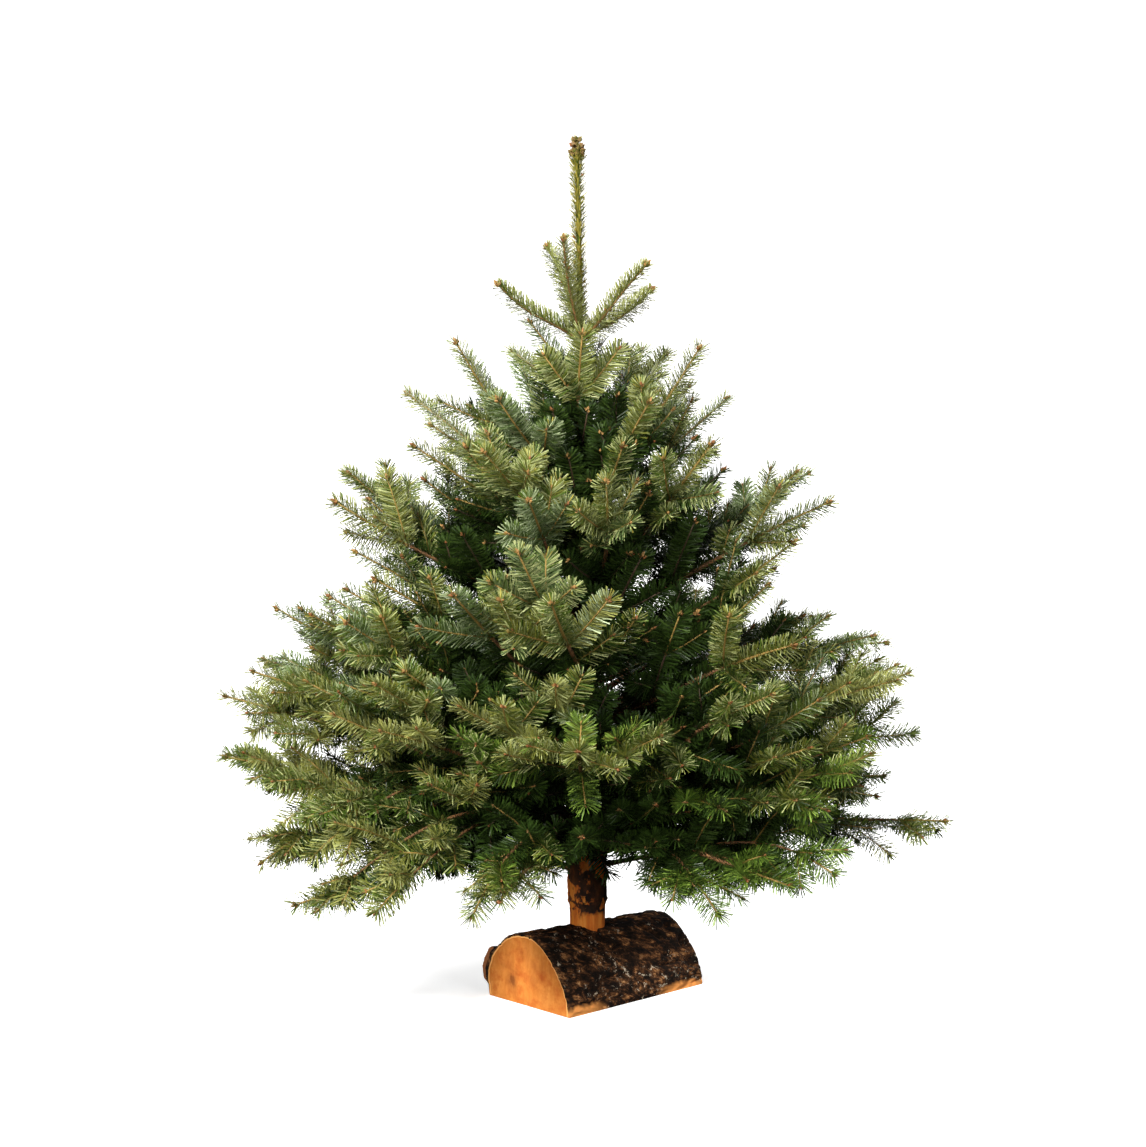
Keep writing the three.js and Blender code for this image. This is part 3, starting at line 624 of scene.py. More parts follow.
def build_needles():
    rng = np.random.default_rng(4242)
    shade_of = {}
    groups = {}
    order = [f"foliage_{wn}_{row[0]}" for wn, _, rows in WHORLS for row in rows]
    whorl_of = {f"foliage_{wn}_{row[0]}": w for w, (wn, _, rows) in enumerate(WHORLS) for row in rows}
    order.insert(0, "foliage_leader")
    whorl_of["foliage_leader"] = 0
    for k, row in enumerate(BETWEEN):
        whorl_of[f"between_{k}"] = row[0]
    outermost = {}
    for sh in shoots:
        q = sh["p"][-1]
        far = math.hypot(q[0], q[1])
        if far > outermost.get(sh["spray"], (-1.0, None))[0]:
            outermost[sh["spray"]] = (far, sh)
    for sh in shoots:
        if sh["spray"] not in shade_of:
            shade_of[sh["spray"]] = spray_shades(outermost[sh["spray"]][1], rng)
        got = needles_of(sh, rng)
        if got is None:
            continue
        base, age = got[0], sh["age"]
        up_name, low_name = shade_of[sh["spray"]]
        if sh["kind"] == "fan" and rng.random() < 0.35:
            up_name, low_name = spray_shades(sh, rng)
        out = outwardness(sh["p"][len(sh["p"]) // 2])
        z = sh["p"][:, 2].mean()
        # painted shade: sprays below the crown's surface take the dark green shades (deep, dark, shade, night) for the
        # shade inside the crown; in the lower crown this reaches further out
        depth = float(np.interp(z, [0.55, 0.72], [0.06, 0.0]))      # the lower crown is closed further out
        if sh["kind"] == "fan" and out < 0.64 + depth:
            up_name, low_name = ("dark", "night") if out < 0.46 + depth else ("deep", "shade")
        iu, il = SHADES.index(up_name), SHADES.index(low_name)
        n = len(base)
        upper = np.full(n, iu)
        odd = rng.random(n)
        near = {"olive": "mid", "mid": "olive", "fresh": "mid", "light": "olive", "blue": "mid",
                "deep": "dark", "dark": "deep", "leader": "light"}[up_name]
        upper[odd < 0.22] = SHADES.index(near)
        # the leader mixes olive and mid green needles, and deep green ones as painted shade for the gaps between its
        # needles
        if sh["kind"] == "leader":
            upper[odd < 0.44] = SHADES.index("olive")
            upper[odd < 0.22] = SHADES.index("mid")
            upper[odd < 0.11] = SHADES.index("deep")
        if sh["kind"] == "fan" and age == 0 and z > 0.45 and out > 0.7:
            # the needles round the end bud are golden
            end = 14 if sh["order"] < 2 else 11
            upper[-end:][::2] = SHADES.index("leader")
        # older needles are darker, partly their own colour and partly painted shade; below the crown's surface and low
        # down more needles take the deep green, as painted shade, and fewer of those are pale
        dull = (0.04, 0.36, 0.66, 0.8, 0.8, 0.8)[min(age, 5)] + float(np.interp(out - 0.6 * depth, [0.62, 0.86], [0.45, 0.0]))
        dull += float(np.interp(z, [0.20, 0.34], [0.20, 0.0]))
        if sh["kind"] == "fan":
            upper[odd > 1 - dull] = SHADES.index("deep")
        pale = float(np.interp(z, [0.2, 0.45, 0.7], [0.18, 0.29, 0.38]))
        if sh["kind"] == "leader":
            pale = 0.0
        pick = rng.random(n) + (0.5 * (odd > 1 - dull) if sh["kind"] == "fan" else 0)
        lower = np.where(pick < pale * 1.5, il, upper)
        upper = np.where(pick < pale * 0.6, il, upper)
        groups.setdefault(sh["bough"], []).append((*got, upper, lower))
    # boughs between the whorls are shared out over the boughs of their whorl
    for k in range(len(BETWEEN)):
        key = f"between_{k}"
        if key in groups:
            w = whorl_of[key]
            own = [o for o in order if whorl_of[o] == w and o != "foliage_leader"]
            groups.setdefault(own[k % len(own)], []).extend(groups.pop(key))
    total = 0
    batch, names, count, pieces = [], [], 0, 0
    limit = 96000

    def flush():
        nonlocal batch, names, count, pieces
        if not batch:
            return
        pieces += 1
        v, f, shade = needle_mesh(batch)
        o = mesh_object(f"needles_{pieces}", v, f, needle_materials, shade)
        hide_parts(*names)
        print("needles piece", pieces, len(f), "triangles", names[0], "...", names[-1])
        batch, names, count = [], [], 0

    for name in order:
        n = sum(len(q[0]) for q in groups.get(name, []))
        total += n
        if count + n > limit or (batch and whorl_of[name] in (3,) and whorl_of[names[-1]] == 2):
            flush()
        batch.extend(groups.get(name, []))
        names.append(name)
        count += n
    flush()
    print("needles in all", total, "triangles", total * 2)


build_needles()


# ----------------------------------------------------------------------- twigs
def tube(points, radii, up, sides, cap=True):
    """A tapering tube: vertices and triangles."""
    n = len(points)
    tangent = np.empty_like(points)
    tangent[1:-1] = points[2:] - points[:-2]
    tangent[0] = points[1] - points[0]
    tangent[-1] = points[-1] - points[-2]
    tangent = unit(tangent)
    u = unit(up[None] - (tangent @ up)[:, None] * tangent)
    sd = np.cross(tangent, u)
    a = np.arange(sides) * 2 * math.pi / sides
    ring = np.cos(a)[None, :, None] * sd[:, None] + np.sin(a)[None, :, None] * u[:, None]
    v = points[:, None] + ring * np.asarray(radii)[:, None, None]
    v = v.reshape(-1, 3)
    i = np.arange(n - 1)[:, None]
    k = np.arange(sides)[None, :]
    a0 = i * sides + k
    b0 = i * sides + (k + 1) % sides
    c0, d0 = a0 + sides, b0 + sides
    f = np.concatenate([np.stack([a0, b0, d0], -1).reshape(-1, 3), np.stack([a0, d0, c0], -1).reshape(-1, 3)])
    if cap:
        caps = []
        last = (n - 1) * sides
        for q in range(1, sides - 1):
            caps.append([0, q + 1, q])
            caps.append([last, last + q, last + q + 1])
        f = np.concatenate([f, np.array(caps)])
    return v, f


def joined(parts):
    vs, fs, idx, at = [], [], [], 0
    for v, f, m in parts:
        vs.append(v)
        fs.append(f + at)
        idx.append(np.full(len(f), m))
        at += len(v)
    return np.concatenate(vs), np.concatenate(fs), np.concatenate(idx)


def plain_material(name, colour, rough=0.7, spec=0.35):
    m = bpy.data.materials.new(name)
    m.use_nodes = True
    b = m.node_tree.nodes["Principled BSDF"]
    b.inputs["Base Color"].default_value = colour
    b.inputs["Roughness"].default_value = rough
    b.inputs["Specular IOR Level"].default_value = spec
    m.diffuse_color = colour
    return m


# the old twig's dark brown is the colour of older wood, and also painted shade on twigs and collars inside the crown
twig_materials = [
    plain_material("twig_new", srgb(132, 106, 52)), plain_material("twig_year", srgb(112, 80, 42)),
    plain_material("twig_old_and_shaded", srgb(58, 42, 27)), plain_material("bud_tan", srgb(140, 106, 60), 0.65),
    plain_material("bud_rust", srgb(120, 76, 42), 0.6), plain_material("twig_warm", srgb(120, 84, 48)),
    plain_material("bud_dull", srgb(104, 80, 44), 0.65), plain_material("bud_brown", srgb(88, 72, 34), 0.8)]


def build_twigs():
    rng = np.random.default_rng(99)
    parts, buds = [], []
    for sh in shoots:
        if not sh["wood"] and sh["kind"] != "leader":
            sides = 5 if sh["r0"] > 0.0016 else 4
            v, f = tube(sh["p"], np.linspace(sh["r0"], sh["r1"], len(sh["p"])), sh["up"], sides)
            out = outwardness(sh["p"][len(sh["p"]) // 2])
            # painted shade: twigs below the crown's surface take the old twig's dark brown
            parts.append((v, f, 5 if sh["kind"] == "brush" else 2 if out < 0.62 or sh["age"] > 1 else sh["age"]))
        if sh["tip"] and (sh["whorl"] == 0 or outwardness(sh["p"][-1]) > 0.6):
            buds.extend(bud_cluster(sh, rng))
    for at, d, r in collars:
        ref = UP if abs(d[2]) < 0.9 else np.array([1.0, 0.0, 0.0])
        v, f = tube(np.stack([at - d * 0.0028, at, at + d * 0.0030]), [r * 0.8, r * 1.12, r * 0.7], unit(np.cross(d, ref)), 5)
        # painted shade: collars below the crown's surface take the old twig's dark brown
        parts.append((v, f, 1 if outwardness(at) > 0.6 else 2))
    v, f, m = joined(parts)
    o = mesh_object("twigs", v, f, twig_materials, m, smooth=True)
    print("twigs", len(f))
    v, f, m = joined(buds)
    o = mesh_object("buds", v, f, twig_materials, m, smooth=False)
    print("buds", len(f))


def bud(at, d, length, width, shade):
    ref = UP if abs(d[2]) < 0.9 else np.array([1.0, 0.0, 0.0])
    a = unit(np.cross(d, ref))
    b = np.cross(d, a)
    ring = [at + d * length * 0.42 + width * (math.cos(q) * a + math.sin(q) * b)
            for q in (0, math.pi / 2, math.pi, 3 * math.pi / 2)]
    v = np.array([at - d * length * 0.1, *ring, at + d * length])
    f = np.array([[0, 2, 1], [0, 3, 2], [0, 4, 3], [0, 1, 4], [5, 1, 2], [5, 2, 3], [5, 3, 4], [5, 4, 1]])
    return v, f, shade


def bud_cluster(sh, rng):
    p = sh["p"]
    d = unit(p[-1] - p[-2])
    tip = p[-1]
    up = unit(sh["up"] - np.dot(sh["up"], d) * d)
    side = np.cross(d, up)
    if sh["kind"] == "leader":
        out = [bud(tip - d * 0.003, d, 0.0110, 0.0048, 6)]
        # three tiers of side buds crowd below it
        for back, count, lean, off in ((0.0045, 6, 36, 0.0040), (0.0120, 8, 54, 0.0052), (0.0190, 8, 60, 0.0058),
                                       (0.0255, 7, 54, 0.0062)):
            for k in range(count):
                q = 2 * math.pi * (k + rng.uniform(-0.15, 0.15)) / count + back * 200
                lean_k = math.radians(lean + rng.normal(0, 5))
                o = math.cos(lean_k) * d + math.sin(lean_k) * (math.cos(q) * side + math.sin(q) * up)
                at = tip - d * (back + rng.normal(0, 0.0007))
                out.append(bud(at + o * off, o, 0.0094, 0.0042, 6 if rng.random() < .40 else 4 if rng.random() < .34 else 7))
        s = arc(p)
        for k in range(9):
            c = along(p, s, rng.uniform(0.12, 0.90) * s[-1])
            q = rng.uniform(0, 2 * math.pi)
            o = unit(0.75 * d + 0.66 * (math.cos(q) * side + math.sin(q) * up))
            out.append(bud(c + o * 0.0075, o, 0.0070, 0.0022, 3 if rng.random() < .5 else 4))
        return out
    lead = sh["kind"] == "brush"
    big = lead or sh["order"] == 0
    grade = 1.5 if lead else 1.0 if big else 0.84 if sh["order"] == 1 else 0.66
    if tip[2] > 0.5 and not lead:
        grade *= 1.3
    dull = tip[2] < 0.42
    out = [bud(tip, d, 0.0080 * grade, 0.0025 * grade, (6 if dull else 3) if rng.random() < .6 else 4)]
    for k in range(7 if lead else 4 if big else 2 if sh["order"] == 1 else 1):
        q = rng.uniform(0, 2 * math.pi) if lead else (0.2 + math.pi * (k % 2) + rng.normal(0, 0.5))
        o = unit(0.62 * d + 0.78 * (math.cos(q) * side + math.sin(q) * up))
        out.append(bud(tip - d * 0.0015, o, 0.0066 * grade, 0.0022 * grade, (6 if dull else 3) if rng.random() < .6 else 4))
    if lead:
        total = arc(p)[-1]
        for k in range(4):
            at = rng.uniform(0.15, 0.93)
            c = along(p, arc(p), at * total)
            q = rng.uniform(0, 2 * math.pi)
            o = unit(0.7 * d + 0.7 * (math.cos(q) * side + math.sin(q) * up))
            out.append(bud(c + o * 0.004, o, 0.0068, 0.0022, 3 if rng.random() < .5 else 4))
    return out


build_twigs()


# ------------------------------------------------------------------ bark relief
def lattice(seed):
    return np.random.default_rng(seed).random((64, 64, 64))


_L = lattice(5)


def noise(p):
    """Smooth value noise, about -1 to 1, of points (n, 3)."""
    q = np.floor(p).astype(int)
    f = p - q
    f = f * f * (3 - 2 * f)
    out = np.zeros(len(p))
    for dx in (0, 1):
        for dy in (0, 1):
            for dz in (0, 1):
                w = (f[:, 0] if dx else 1 - f[:, 0]) * (f[:, 1] if dy else 1 - f[:, 1]) * (f[:, 2] if dz else 1 - f[:, 2])
                out += w * _L[(q[:, 0] + dx) % 64, (q[:, 1] + dy) % 64, (q[:, 2] + dz) % 64]
    return out * 2 - 1


def fbm(p, octaves=3):
    total, amp = np.zeros(len(p)), 1.0
    for k in range(octaves):
        total += amp * noise(p * 2 ** k + 17.3 * k)
        amp *= 0.5
    return total / 1.75


def grid_faces(rows, cols, wrap):
    i = np.arange(rows - 1)[:, None]
    k = np.arange(cols if wrap else cols - 1)[None, :]
    a = i * cols + k
    b = i * cols + (k + 1) % cols
    return np.concatenate([np.stack([a, b, b + cols], -1).reshape(-1, 3),
                           np.stack([a, b + cols, a + cols], -1).reshape(-1, 3)])


def trunk_mesh():
    zs = np.concatenate([np.arange(0.060, 0.300, 0.0022), np.arange(0.300, 0.950, 0.008),
                         np.linspace(0.950, TRUNK_TIP_Z, 40)])
    sides = 56
    a = np.arange(sides) * 2 * math.pi / sides
    centre = trunk_at(zs)
    r = trunk_radius(zs)
    Z = np.repeat(zs, sides)
    A = np.tile(a, len(zs))
    R = np.repeat(r, sides)
    p = np.stack([np.cos(A) * 3.0, np.sin(A) * 3.0, Z * 60], -1)
    lengthwise = fbm(np.stack([np.cos(A) * 7, np.sin(A) * 7, Z * 55], -1))
    blister = np.clip(fbm(np.stack([np.cos(A) * 5, np.sin(A) * 5, Z * 140], -1) + 31), 0.15, 1) - 0.15
    bark = np.clip((Z - 0.127) / 0.006, 0, 1) * np.clip((0.95 - Z) / 0.3, 0.15, 1)
    disp = bark * (0.0011 * lengthwise + 0.0016 * blister + 0.0006 * noise(p * 4))
    # whittled foot: flat facets under a ragged edge of bark
    facet = np.cos((A * 9 / 2 + 0.7) % (math.pi) - math.pi / 2)
    disp += (1 - np.clip((Z - 0.127) / 0.006, 0, 1)) * (-0.0012 * (1 - facet) + 0.0004 * noise(p * 3))
    edge = 0.0022 * np.clip(1 - np.abs(Z - (0.131 + 0.003 * noise(p))) / 0.004, 0, 1)
    disp += edge * (Z < 0.2)
    for w, (_, z, _) in enumerate(WHORLS[1:], 1):
        disp += 0.0016 * np.exp(-((Z - z / 1000) / 0.010) ** 2) * (1 + 0.5 * noise(p))
    rr = R + disp
    c = np.repeat(centre, sides, axis=0)
    v = c + np.stack([np.cos(A) * rr, np.sin(A) * rr, np.zeros_like(rr)], -1)
    f = grid_faces(len(zs), sides, True)
    last = (len(zs) - 1) * sides
    caps = [[0, q + 1, q] for q in range(1, sides - 1)] + [[last, last + q, last + q + 1] for q in range(1, sides - 1)]
    return v, np.concatenate([f, np.array(caps)])


def limb_mesh(points, up, r0, r1, sides, seed):
    """A tapering limb with branch collars and lengthwise ridges."""
    s = arc(points)
    n = max(8, int(s[-1] / (0.011 if sides > 6 else 0.015)))
    at = np.linspace(0.0, s[-1], n)
    p = along(points, s, at)
    t = at / s[-1]
    r = r1 + (r0 - r1) * (1 - t) ** 1.15
    r = r + 0.25 * r0 * np.exp(-((at - trunk_radius(points[0][2])) / 0.012) ** 2)
    v, f = tube(p, r, up, sides)
    ring = np.repeat(p, sides, axis=0)
    out = v - ring
    a = np.tile(np.arange(sides), n)
    q = np.stack([a * 1.9 + seed * 3.1, np.repeat(at, sides) * 90, np.full(len(a), seed * 1.7)], -1)
    v = ring + out * (1 + 0.10 * noise(q))[:, None]
    return v, f


def node_tree(m):
    nt = m.node_tree
    return nt, nt.nodes, nt.links


def ramp(nodes, stops, interp="LINEAR"):
    r = nodes.new("ShaderNodeValToRGB")
    r.color_ramp.interpolation = interp
    el = r.color_ramp.elements
    while len(el) > 1:
        el.remove(el[-1])
    el[0].position, el[0].color = stops[0]
    for pos, col in stops[1:]:
        e = el.new(pos)
        e.color = col
    return r


def texture(nodes, links, kind, scale, coord, detail=4.0, rough=0.6, mapping=None, **sockets):
    t = nodes.new(kind)
    t.inputs["Scale"].default_value = scale
    if kind == "ShaderNodeTexNoise":
        t.inputs["Detail"].default_value = detail
        t.inputs["Roughness"].default_value = rough
    src = coord.outputs["Object"]
    if mapping is not None:
        mp = nodes.new("ShaderNodeMapping")
        mp.inputs["Scale"].default_value = mapping[0]
        mp.inputs["Rotation"].default_value = mapping[1]
        links.new(src, mp.inputs["Vector"])
        src = mp.outputs["Vector"]
    links.new(src, t.inputs["Vector"])
    return t


def mix(nodes, links, fac, a, b, blend="MIX"):
    m = nodes.new("ShaderNodeMix")
    m.data_type = "RGBA"
    m.blend_type = blend
    if isinstance(fac, float):
        m.inputs["Factor"].default_value = fac
    else:
        links.new(fac, m.inputs["Factor"])
    for sock, val in ((6, a), (7, b)):
        if isinstance(val, tuple):
            m.inputs[sock].default_value = val
        else:
            links.new(val, m.inputs[sock])
    return m.outputs[2]


def bark_material():
    m = bpy.data.materials.new("trunk_bark")
    m.use_nodes = True
    nt, nodes, links = node_tree(m)
    b = nodes["Principled BSDF"]
    co = nodes.new("ShaderNodeTexCoord")
    big = texture(nodes, links, "ShaderNodeTexNoise", 38, co, 5, 0.62, ((1, 1, 0.6), (0, 0, 0)))
    fine = texture(nodes, links, "ShaderNodeTexNoise", 260, co, 3, 0.6, ((1, 1, 0.35), (0, 0, 0)))
    base = ramp(nodes, [(0.30, srgb(22, 14, 9)), (0.47, srgb(52, 31, 17)), (0.60, srgb(96, 58, 30)),
                        (0.74, srgb(150, 92, 44))])
    links.new(big.outputs["Fac"], base.inputs["Fac"])
    speck = ramp(nodes, [(0.42, srgb(28, 19, 13)), (0.56, srgb(128, 92, 60))])
    links.new(fine.outputs["Fac"], speck.inputs["Fac"])
    colour = mix(nodes, links, 0.42, base.outputs["Color"], speck.outputs["Color"], "OVERLAY")
    # knife-scraped patches and the whittled foot show orange wood
    sep = nodes.new("ShaderNodeSeparateXYZ")
    links.new(co.outputs["Object"], sep.inputs[0])
    patch = texture(nodes, links, "ShaderNodeTexNoise", 30, co, 4, 0.6, ((1, 1, 0.9), (0, 0, 0)))
    wob = nodes.new("ShaderNodeMath")
    wob.operation = "MULTIPLY_ADD"
    links.new(patch.outputs["Fac"], wob.inputs[0])
    wob.inputs[1].default_value = 0.070
    links.new(sep.outputs["Z"], wob.inputs[2])
    foot = ramp(nodes, [(0.0, (1, 1, 1, 1)), (0.1475, (1, 1, 1, 1)), (0.1505, (0, 0, 0, 1))])
    links.new(wob.outputs[0], foot.inputs["Fac"])
    scraped = ramp(nodes, [(0.535, (0, 0, 0, 1)), (0.57, (1, 1, 1, 1))])
    links.new(patch.outputs["Fac"], scraped.inputs["Fac"])
    low = ramp(nodes, [(0.0, (1, 1, 1, 1)), (0.20, (1, 1, 1, 1)), (0.24, (0, 0, 0, 1))])
    links.new(sep.outputs["Z"], low.inputs["Fac"])
    both = mix(nodes, links, 1.0, scraped.outputs["Color"], low.outputs["Color"], "MULTIPLY")
    mask = mix(nodes, links, 1.0, both, foot.outputs["Color"], "LIGHTEN")
    grain = texture(nodes, links, "ShaderNodeTexNoise", 120, co, 4, 0.6, ((1, 1, 0.12), (0, 0, 0)))
    wood = ramp(nodes, [(0.3, srgb(166, 82, 22)), (0.5, srgb(208, 112, 36)), (0.7, srgb(226, 148, 62))])
    links.new(grain.outputs["Fac"], wood.inputs["Fac"])
    colour = mix(nodes, links, mask, colour, wood.outputs["Color"])
    links.new(colour, b.inputs["Base Color"])
    b.inputs["Roughness"].default_value = 0.82
    b.inputs["Specular IOR Level"].default_value = 0.28
    bump = nodes.new("ShaderNodeBump")
    bump.inputs["Strength"].default_value = 0.55
    bump.inputs["Distance"].default_value = 0.0012
    links.new(fine.outputs["Fac"], bump.inputs["Height"])
    links.new(bump.outputs["Normal"], b.inputs["Normal"])
    m.diffuse_color = srgb(80, 52, 32)
    return m


def limb_material():
    m = bpy.data.materials.new("limb_bark")
    m.use_nodes = True
    nt, nodes, links = node_tree(m)
    b = nodes["Principled BSDF"]
    co = nodes.new("ShaderNodeTexCoord")
    big = texture(nodes, links, "ShaderNodeTexNoise", 60, co, 5, 0.6)
    fine = texture(nodes, links, "ShaderNodeTexNoise", 420, co, 3, 0.6)
    base = ramp(nodes, [(0.30, srgb(56, 37, 22)), (0.50, srgb(98, 65, 36)), (0.70, srgb(136, 94, 54))])
    links.new(big.outputs["Fac"], base.inputs["Fac"])
    speck = ramp(nodes, [(0.40, srgb(56, 38, 24)), (0.60, srgb(134, 100, 66))])
    links.new(fine.outputs["Fac"], speck.inputs["Fac"])
    colour = mix(nodes, links, 0.35, base.outputs["Color"], speck.outputs["Color"])
    links.new(colour, b.inputs["Base Color"])
    b.inputs["Roughness"].default_value = 0.72
    b.inputs["Specular IOR Level"].default_value = 0.3
    bump = nodes.new("ShaderNodeBump")
    bump.inputs["Strength"].default_value = 0.4
    bump.inputs["Distance"].default_value = 0.0008
    links.new(fine.outputs["Fac"], bump.inputs["Height"])
    links.new(bump.outputs["Normal"], b.inputs["Normal"])
    m.diffuse_color = srgb(128, 84, 46)
    return m


def build_wood():
    parts = [(*trunk_mesh(), 0)]
    for k, (pts, up, r0, r1, sides) in enumerate(main_axes):
        parts.append((*limb_mesh(pts, up, r0, r1, sides, k), 1))
    v, f, m = joined(parts)
    o = mesh_object("trunk_and_limbs", v, f, [bark_material(), limb_material()], m, smooth=True)
    names = ["trunk"] + [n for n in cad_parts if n.startswith("bough_")]
    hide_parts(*names)
    print("trunk and limbs", len(f))


build_wood()


# -------------------------------------------------------------------- log foot
def log_section(a, t, lump=0.0):
    """Point of the log's outline: a runs from the left edge (0) to the right (pi)."""
    c0 = -np.cos(a)
    p = np.where(c0 < 0, LOG_ROUND_LEFT, LOG_ROUND_RIGHT)
    c = np.sign(c0) * np.abs(c0) ** (2 / p)
    h = np.clip(np.sin(a), 0, 1) ** (2 / p)
    bulge = 1 - 0.03 * t
    flank = 1 + np.where(c < 0, LOG_FLANK, 0.4 * LOG_FLANK) * np.sin(np.pi * np.minimum(1, 1.25 * h))
    return 0.5 * LOG_WIDTH * c * bulge * flank, LOG_HEIGHT * h * bulge


def build_log():
    along_v = np.array([math.cos(LOG_YAW), math.sin(LOG_YAW), 0])
    across = np.array([along_v[1], -along_v[0], 0])
    na, nt = 150, 124
    t = np.linspace(0, 1, nt)
    a = np.linspace(0, math.pi, na)
    T, A = np.meshgrid(t, a, indexing="ij")
    T, A = T.ravel(), A.ravel()
    w, h = log_section(A, T)
    w2, h2 = log_section(np.clip(A + 0.01, 0, math.pi), T)
    w1, h1 = log_section(np.clip(A - 0.01, 0, math.pi), T)
    nrm = np.stack([-(h2 - h1), (w2 - w1)], -1)
    nrm /= np.maximum(np.linalg.norm(nrm, axis=1, keepdims=True), 1e-9)
    x = (T - 0.5) * LOG_LENGTH
    arclen = A * 0.085
    q = np.stack([x * 26, arclen * 95, np.zeros_like(x)], -1)
    warp = 1.3 * noise(np.stack([x * 14, arclen * 30, np.full_like(x, 3.0)], -1))
    q[:, 1] += warp
    ridge = 1 - np.abs(fbm(q, 3)) * 2.2
    plates = fbm(np.stack([x * 60, arclen * 160, np.full_like(x, 7.0)], -1), 3)
    lump = fbm(np.stack([x * 12, arclen * 18, np.full_like(x, 11.0)], -1), 2)
    # long plates with cracks between them
    plank = noise(np.stack([x * 22, arclen * 62 + 0.8 * warp, np.full_like(x, 21.0)], -1))
    crack = np.exp(-(plank / 0.13) ** 2)
    disp = 0.0022 * ridge + 0.0017 * plates + 0.0030 * lump - 0.0036 * crack - 0.0006
    # the bark swells on the left, just behind the sawn face
    hem = np.clip(np.minimum(A, math.pi - A) / 0.10, 0, 1)
    disp *= hem
    ends = np.clip(np.minimum(T, 1 - T) / 0.012, 0, 1)
    disp = disp * (0.35 + 0.65 * ends) - 0.0006 * (1 - ends)
    flap = np.sqrt(np.clip((A - 0.06) / 0.16, 0, 1)) * np.sqrt(np.clip((0.66 - A) / 0.20, 0, 1))
    disp += 0.0150 * flap * np.clip((T - 0.004) / 0.010, 0, 1) * np.clip((0.75 - T) / 0.6, 0, 1)
    w = w + nrm[:, 0] * disp
    h = np.maximum(h + nrm[:, 1] * disp, 0)
    pts = x[:, None] * along_v + w[:, None] * across + h[:, None] * UP
    grid = pts.reshape(nt, na, 3)
    verts = [pts]
    faces = [grid_faces(nt, na, False)]
    cell = np.arange(len(faces[0])) % (len(faces[0]) // 2)
    row, col = cell // (na - 1), cell % (na - 1)
    idx = [np.where((row == 1) & (col > 3) & (col < 30), 3, 0)]      # the loose bark's broken edge is brown
    at = len(pts)
    # sawn ends, and the flat underside
    rim_steps = [1.0, 0.972, 0.945, 0.90, 0.78, 0.64, 0.50, 0.36, 0.22, 0.10]
    for end in (0, nt - 1):
        rim = grid[end]
        mid = (rim[0] + rim[-1]) / 2 + UP * 0.030
        rings = []
        outward = along_v * (1 if end else -1)
        for k, sc in enumerate(rim_steps):
            ring = mid + (rim - mid) * sc
            if k == 1:
                ring = ring + outward * 0.0007
            if k > 1:
                ring = ring + outward * (0.0004 + 0.00035 * noise(ring * 220))[:, None]
            ring[:, 2] = np.clip(ring[:, 2], 0, None)
            ring[0, 2] = ring[-1, 2] = max(0.0, ring[0, 2])
            rings.append(ring)
        ringv = np.concatenate(rings)
        f = grid_faces(len(rim_steps), na, False)
        band = (np.arange(len(f)) % (len(f) // 2)) // (na - 1)
        m = np.where(band == 0, 0, np.where(band == 1, 2, 1))
        # fan in the middle
        c = len(ringv)
        last = (len(rim_steps) - 1) * na
        fan = np.array([[last + q, last + q + 1, c] for q in range(na - 1)] + [[last + na - 1, last, c]])
        # close the foot of the face along the underside edge
        foot = []
        for k in range(len(rim_steps) - 1):
            l0, l1 = k * na, (k + 1) * na
            r0_, r1_ = l0 + na - 1, l1 + na - 1
            foot.append([l0, l1, r0_])
            foot.append([l1, r1_, r0_])
        f = np.concatenate([f, fan, np.array(foot)])
        m = np.concatenate([m, np.ones(len(fan) + len(foot), int)])
        if not end:
            f = f[:, ::-1]
        faces.append(f + at)
        idx.append(m)
        verts.append(np.concatenate([ringv, (mid + outward * 0.0005)[None]]))
        at += c + 1
    under = np.stack([grid[:, 0], grid[:, -1]], 1).reshape(-1, 3)
    f = grid_faces(nt, 2, False)
    faces.append(f[:, ::-1] + at)
    idx.append(np.ones(len(f), int))
    verts.append(under)
    v = np.concatenate(verts)
    f = np.concatenate(faces)
    o = mesh_object("half_log", v, f, [log_bark_material(), end_grain_material(),
                                            plain_material("inner_bark", srgb(232, 168, 96), 0.8, 0.2),
                                            plain_material("broken_bark", srgb(150, 94, 56), 0.85, 0.2)],
                    np.concatenate(idx), smooth=True)
    import bmesh
    bm = bmesh.new()
    bm.from_mesh(o.data)
    bmesh.ops.remove_doubles(bm, verts=bm.verts, dist=1e-5)
    bmesh.ops.dissolve_degenerate(bm, edges=bm.edges, dist=1e-6)
    bmesh.ops.recalc_face_normals(bm, faces=bm.faces)
    for e in bm.edges:
        if len(e.link_faces) == 2 and e.calc_face_angle(0) > math.radians(50):
            e.smooth = False
    bm.to_mesh(o.data)
    bm.free()
    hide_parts("stand_log")
    print("half log", len(o.data.polygons))
    return o


